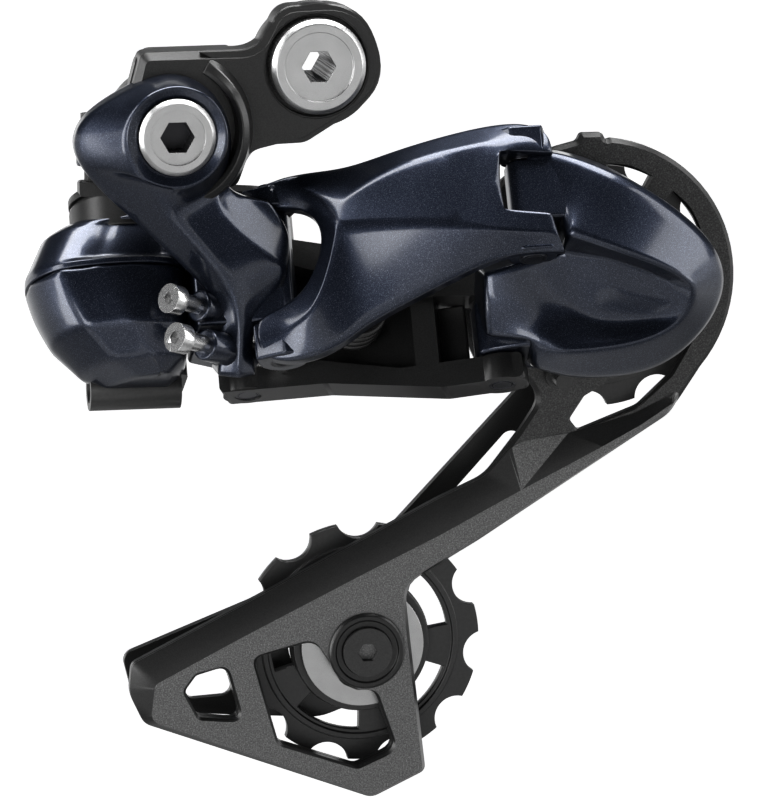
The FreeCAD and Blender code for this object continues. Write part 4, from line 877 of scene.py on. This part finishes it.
# wall round the reduction train: radius round each wheel, then spread and height of the wall's rings
WHEEL_ROUND = 10.2
MOTOR_ROUND = 8.9
CASE_PROFILE = [(0, 24.6), (0, 30.4), (-0.5, 31.1), (-1.2, 31.1), (-1.2, 24.6)]


def housing_ring(up, left, right, front, back, sunk):
    """Outline of the housing across the link pins."""
    spots = [
        (right, front - sunk), ((left + right) / 2 + 2, front + 0.5 - sunk),
        (left + 12.0, front - 0.2 - 0.9 * sunk), (left + 5.4, front - 1.6), (left, front - 8),
        (left + 0.8, back + 6), (left + 8, back), (right, back), (right + 0.3, (front + back) / 2),
    ]
    return [deck(a, n, up) for a, n in spots]


def make_housing():
    halves = (("housing_lower_shell", LOWER_LEVELS, LOWER_RINGS, LOWER_COLUMNS, COVERED_BY_LOWER),
              ("housing_upper_shell", UPPER_LEVELS, UPPER_RINGS, UPPER_COLUMNS, ("motor_housing_upper",)))
    for name, levels, creases, columns, covered in halves:
        mesh = loft_mesh(name, [housing_ring(*level) for level in levels], creases, columns)
        round_off(add_piece(mesh, [PAINT], "knuckle", "painted", *covered))


def make_gear_case():
    """Wall round the reduction train, under its cover."""
    wheel = deck_spot("inner_link_swing")
    motor = deck_spot("motor_spin")
    rings = [belt_ring(wheel, WHEEL_ROUND + spread, motor, MOTOR_ROUND + spread, up)
             for spread, up in CASE_PROFILE]
    case = add_piece(tube_mesh("gear_case", rings), [BLACK], "knuckle", "black_anodised")
    bevel_edges(case, 0.3)


# ---------------------------------------------------------------- cage plate
# outlines as X, Z and corner radius; the head is the round end behind the lower knuckle
HEAD_CENTRE = (50.8, -39.8)
HEAD_RADIUS = 24.7
ARM_EDGE_TOP = [(-30.6, -104.4, 2), (-12, -95.2, 30), (8.4, -84.8, 40), (23.2, -77.3, 30), (31.5, -73.6, 8)]
ARM_EDGE_LOW = [
    (64.6, -63.4, 14), (48, -73.8, 40), (30.3, -84.9, 30), (17.2, -92.4, 5), (18.2, -102, 30),
    (21.0, -125.8, 1.6), (11.4, -130.3, 3), (-28.6, -115.0, 3), (-31.1, -109.6, 6),
]
HEAD_EDGE = [
    (37.6, -65.8, 8), (41.2, -60.4, 4), (38.6, -56.2, 3), (31.0, -56.0, 1), (27.5, -48.5, 6),
    (26.4, -39.8, 12), (28.6, -29.6, 12), (34.5, -21.4, 12), (43.2, -16.6, 8), (47.3, -15.6, 1),
    (48.0, -14.2, 0.8), (51.8, -14.2, 0.8), (52.4, -15.5, 1),
]
RIB_EDGE = [(37.0, -67.8, 6), (46, -66.6, 10), (58, -63.4, 12), (66.4, -59.4, 1)]
RIB_FACE = [
    (-26.8, -107.8, 1.5), (-12, -100.3, 30), (9.2, -90.0, 40), (23.2, -83.4, 30), (37.5, -76.0, 20),
    (51.7, -68.9, 20), (58.6, -65.3, 10), (64.8, -61.3, 0.6), (63.6, -62.8, 8), (48, -73.0, 40),
    (30.0, -84.0, 30), (16.5, -92.0, 5), (17.4, -102, 30), (20.2, -125.3, 1.2), (11.2, -129.5, 3),
    (-27.6, -114.3, 2.2),
]
SMALL_WINDOW = [(-21.6, -109.3, 1.2), (-19.6, -106.6, 1.5), (-14.4, -105.2, 1.8), (-11.6, -115.0, 1.8),
                (-19.2, -114.0, 1.2)]
LARGE_WINDOW = [
    (-9.6, -103.9, 1.8), (1.2, -101.3, 3), (4.6, -106.8, 2), (5.8, -109.2, 3), (8.6, -110.5, 2),
    (11.6, -110.6, 2), (15.6, -121.2, 2.6), (8.5, -124.2, 2), (-5.2, -119.3, 2),
]
CRESCENT = [
    (46.4, -64.2, 0.8), (48.0, -66.2, 1), (58.6, -62.2, 4), (64.4, -56.8, 4), (68.8, -49.6, 4),
    (70.6, -44.0, 1), (68.0, -44.6, 1), (65.4, -50.0, 4), (60.4, -54.8, 4), (54.6, -57.0, 4),
    (49.2, -60.0, 2),
]
# inner and outer radius of the slots in the head, and the angles where they start and end
SLOT_RADII = (17.6, 20.2)
SLOT_SPANS = ((62, 84), (25, 47))
# Y of the face, of the bevel's foot and of the back
BASE_DEPTHS = (5.3, 5.9, 7.2)
RIB_DEPTHS = (3.6, 5.2, 5.5)
# washer round the tension bolt: radius and Y
WASHER_PROFILE = [(6.0, 4.4), (6.7, 4.0), (6.7, 3.1), (6.3, 2.7), (5.6, 2.7), (5.4, 3.0), (4.4, 3.0),
                  (4.3, 4.4)]


def make_cage_plate():
    """Plate in two layers: a dark base with the round head, and the speckled arm on top of it."""
    head = [(spot.x, spot.y, 1.0) for spot in arc(HEAD_CENTRE, HEAD_RADIUS, 84, -40, 26)]
    edge = rounded(ARM_EDGE_TOP + HEAD_EDGE + head + ARM_EDGE_LOW)
    through = [rounded(SMALL_WINDOW), rounded(LARGE_WINDOW)]
    slots = [rounded(CRESCENT)] + [slot_loop(HEAD_CENTRE, *SLOT_RADII, *span) for span in SLOT_SPANS]
    mesh = plate_mesh("cage_plate_base", edge, inset(edge, 0.7), through + slots, BASE_DEPTHS)
    # the base's bevels and walls take the black as painted shade
    base = add_piece(mesh, [PLATE_DARK, PLATE_BLACK_AND_BEVEL_SHADE], "cage", "plate", "cage_outer_plate")
    bevel_edges(base, 0.12)
    rib = rounded(ARM_EDGE_TOP + RIB_EDGE + ARM_EDGE_LOW)
    mesh = plate_mesh("cage_plate_rib", rib, rounded(RIB_FACE), through, RIB_DEPTHS)
    # the arm's bevels and walls take the black as painted shade
    bevel_edges(add_piece(mesh, [PLATE, PLATE_BLACK_AND_BEVEL_SHADE], "cage", "plate"), 0.15)


def make_tension_boss():
    rings = turned_rings(Vector((TENSION.x, 0, TENSION.z)), WASHER_PROFILE)
    bevel_edges(add_piece(loft_mesh("tension_boss", rings), [PLATE_BLACK_AND_BEVEL_SHADE], "cage", "plate"), 0.12)


# ---------------------------------------------------------------- camera, lights and floor
# angles in degrees: azimuth from the front, towards +X, and elevation
VIEW_ANGLES = (-10.5, 11.0)
VIEW_DISTANCE = 0.8
VIEW_TARGET = space(12.0, 0, -58.5)
LENS_LENGTH = 210.6
SENSOR_WIDTH = 36

# azimuth, elevation, distance, width and height in metres, power in watts
SOFTBOXES = {
    "key_top": (170, 84, 0.8, 1.0, 0.5, 24),
    "left_strip": (-82, 12, 0.8, 0.22, 0.9, 6),
    "right_strip": (75, 22, 0.8, 0.3, 0.7, 4),
    "front_band": (-36, 2, 1.2, 0.5, 0.42, 6),
    "low_front": (-25, -38, 1.0, 0.9, 0.35, 1.2),
}

# metres; the floor starts to glow at one distance from the object and glows fully from the other
FLOOR_RADIUS = 20.0
FLOOR_LEVEL = -1.1
WALL_TOP = 2.2
FLOOR_SIDES = 48
GLOW_FROM = 1.8
GLOW_FULL = 3.0


def aim(thing, azimuth, elevation, distance):
    """Puts a camera or light at a distance from the object and points it there."""
    azimuth = math.radians(azimuth)
    elevation = math.radians(elevation)
    back = Vector((math.sin(azimuth) * math.cos(elevation), -math.cos(azimuth) * math.cos(elevation),
                   math.sin(elevation)))
    thing.location = VIEW_TARGET + back * distance
    thing.rotation_mode = "QUATERNION"
    thing.rotation_quaternion = (-back).to_track_quat("-Z", "Y")
    bpy.context.scene.collection.objects.link(thing)


def make_camera():
    data = bpy.data.cameras.new("camera")
    data.lens = LENS_LENGTH
    data.sensor_width = SENSOR_WIDTH
    data.clip_start = 0.01
    data.clip_end = 50
    camera = bpy.data.objects.new("camera", data)
    aim(camera, *VIEW_ANGLES, VIEW_DISTANCE)
    bpy.context.scene.camera = camera


def make_lights():
    for name, (azimuth, elevation, distance, width, height, power) in SOFTBOXES.items():
        data = bpy.data.lights.new(name, "AREA")
        data.shape = "RECTANGLE"
        data.size = width
        data.size_y = height
        data.energy = power
        aim(bpy.data.objects.new(name, data), azimuth, elevation, distance)


def floor_material():
    """White floor that glows away from the object, so that it stays plain to the horizon."""
    material, shader = new_material("floor_white", (0.7, 0.7, 0.7), 0.0, 0.9)
    tree = material.node_tree
    place = tree.nodes.new("ShaderNodeTexCoord")
    reach = operate(tree, "ShaderNodeVectorMath", "LENGTH", place.outputs["Object"])
    spread = map_range(tree, reach.outputs["Value"], GLOW_FROM, GLOW_FULL)
    shader.inputs["Emission Color"].default_value = (1, 1, 1, 1)
    tree.links.new(spread, shader.inputs["Emission Strength"])
    return material


def make_floor():
    """Round floor far below the object with a low wall round it."""
    mesh = bpy.data.meshes.new("floor")
    rim = circle((0, 0), FLOOR_RADIUS, FLOOR_SIDES)
    verts = [(spot.x, spot.y, level) for level in (FLOOR_LEVEL, WALL_TOP) for spot in rim]
    faces = [tuple(range(FLOOR_SIDES))]
    for step in range(FLOOR_SIDES):
        after = (step + 1) % FLOOR_SIDES
        faces.append((step, after, after + FLOOR_SIDES, step + FLOOR_SIDES))
    mesh.from_pydata(verts, [], faces)
    mesh.materials.append(floor_material())
    floor = bpy.data.objects.new("floor", mesh)
    bpy.context.scene.collection.objects.link(floor)


def make_stage():
    world = bpy.data.worlds.new("studio")
    world.use_nodes = True
    background = world.node_tree.nodes["Background"]
    background.inputs["Color"].default_value = (0.9, 0.95, 1.0, 1)
    background.inputs["Strength"].default_value = 0.05
    bpy.context.scene.world = world
    bpy.context.scene.view_settings.view_transform = "Standard"
    bpy.context.scene.view_settings.gamma = 0.87
    make_floor()
    make_lights()


# ---------------------------------------------------------------- the whole scene
MAKERS = (
    dress_cad_nodes, make_bracket, make_bracket_cup, make_outer_link, make_ears, make_lower_knuckle,
    make_upper_knuckle, make_near_lugs, make_screw_bosses, make_far_lugs, make_link_web, make_housing,
    make_gear_case, make_cage_plate, make_tension_boss, make_stage, make_camera,
)
for maker in MAKERS:
    maker()
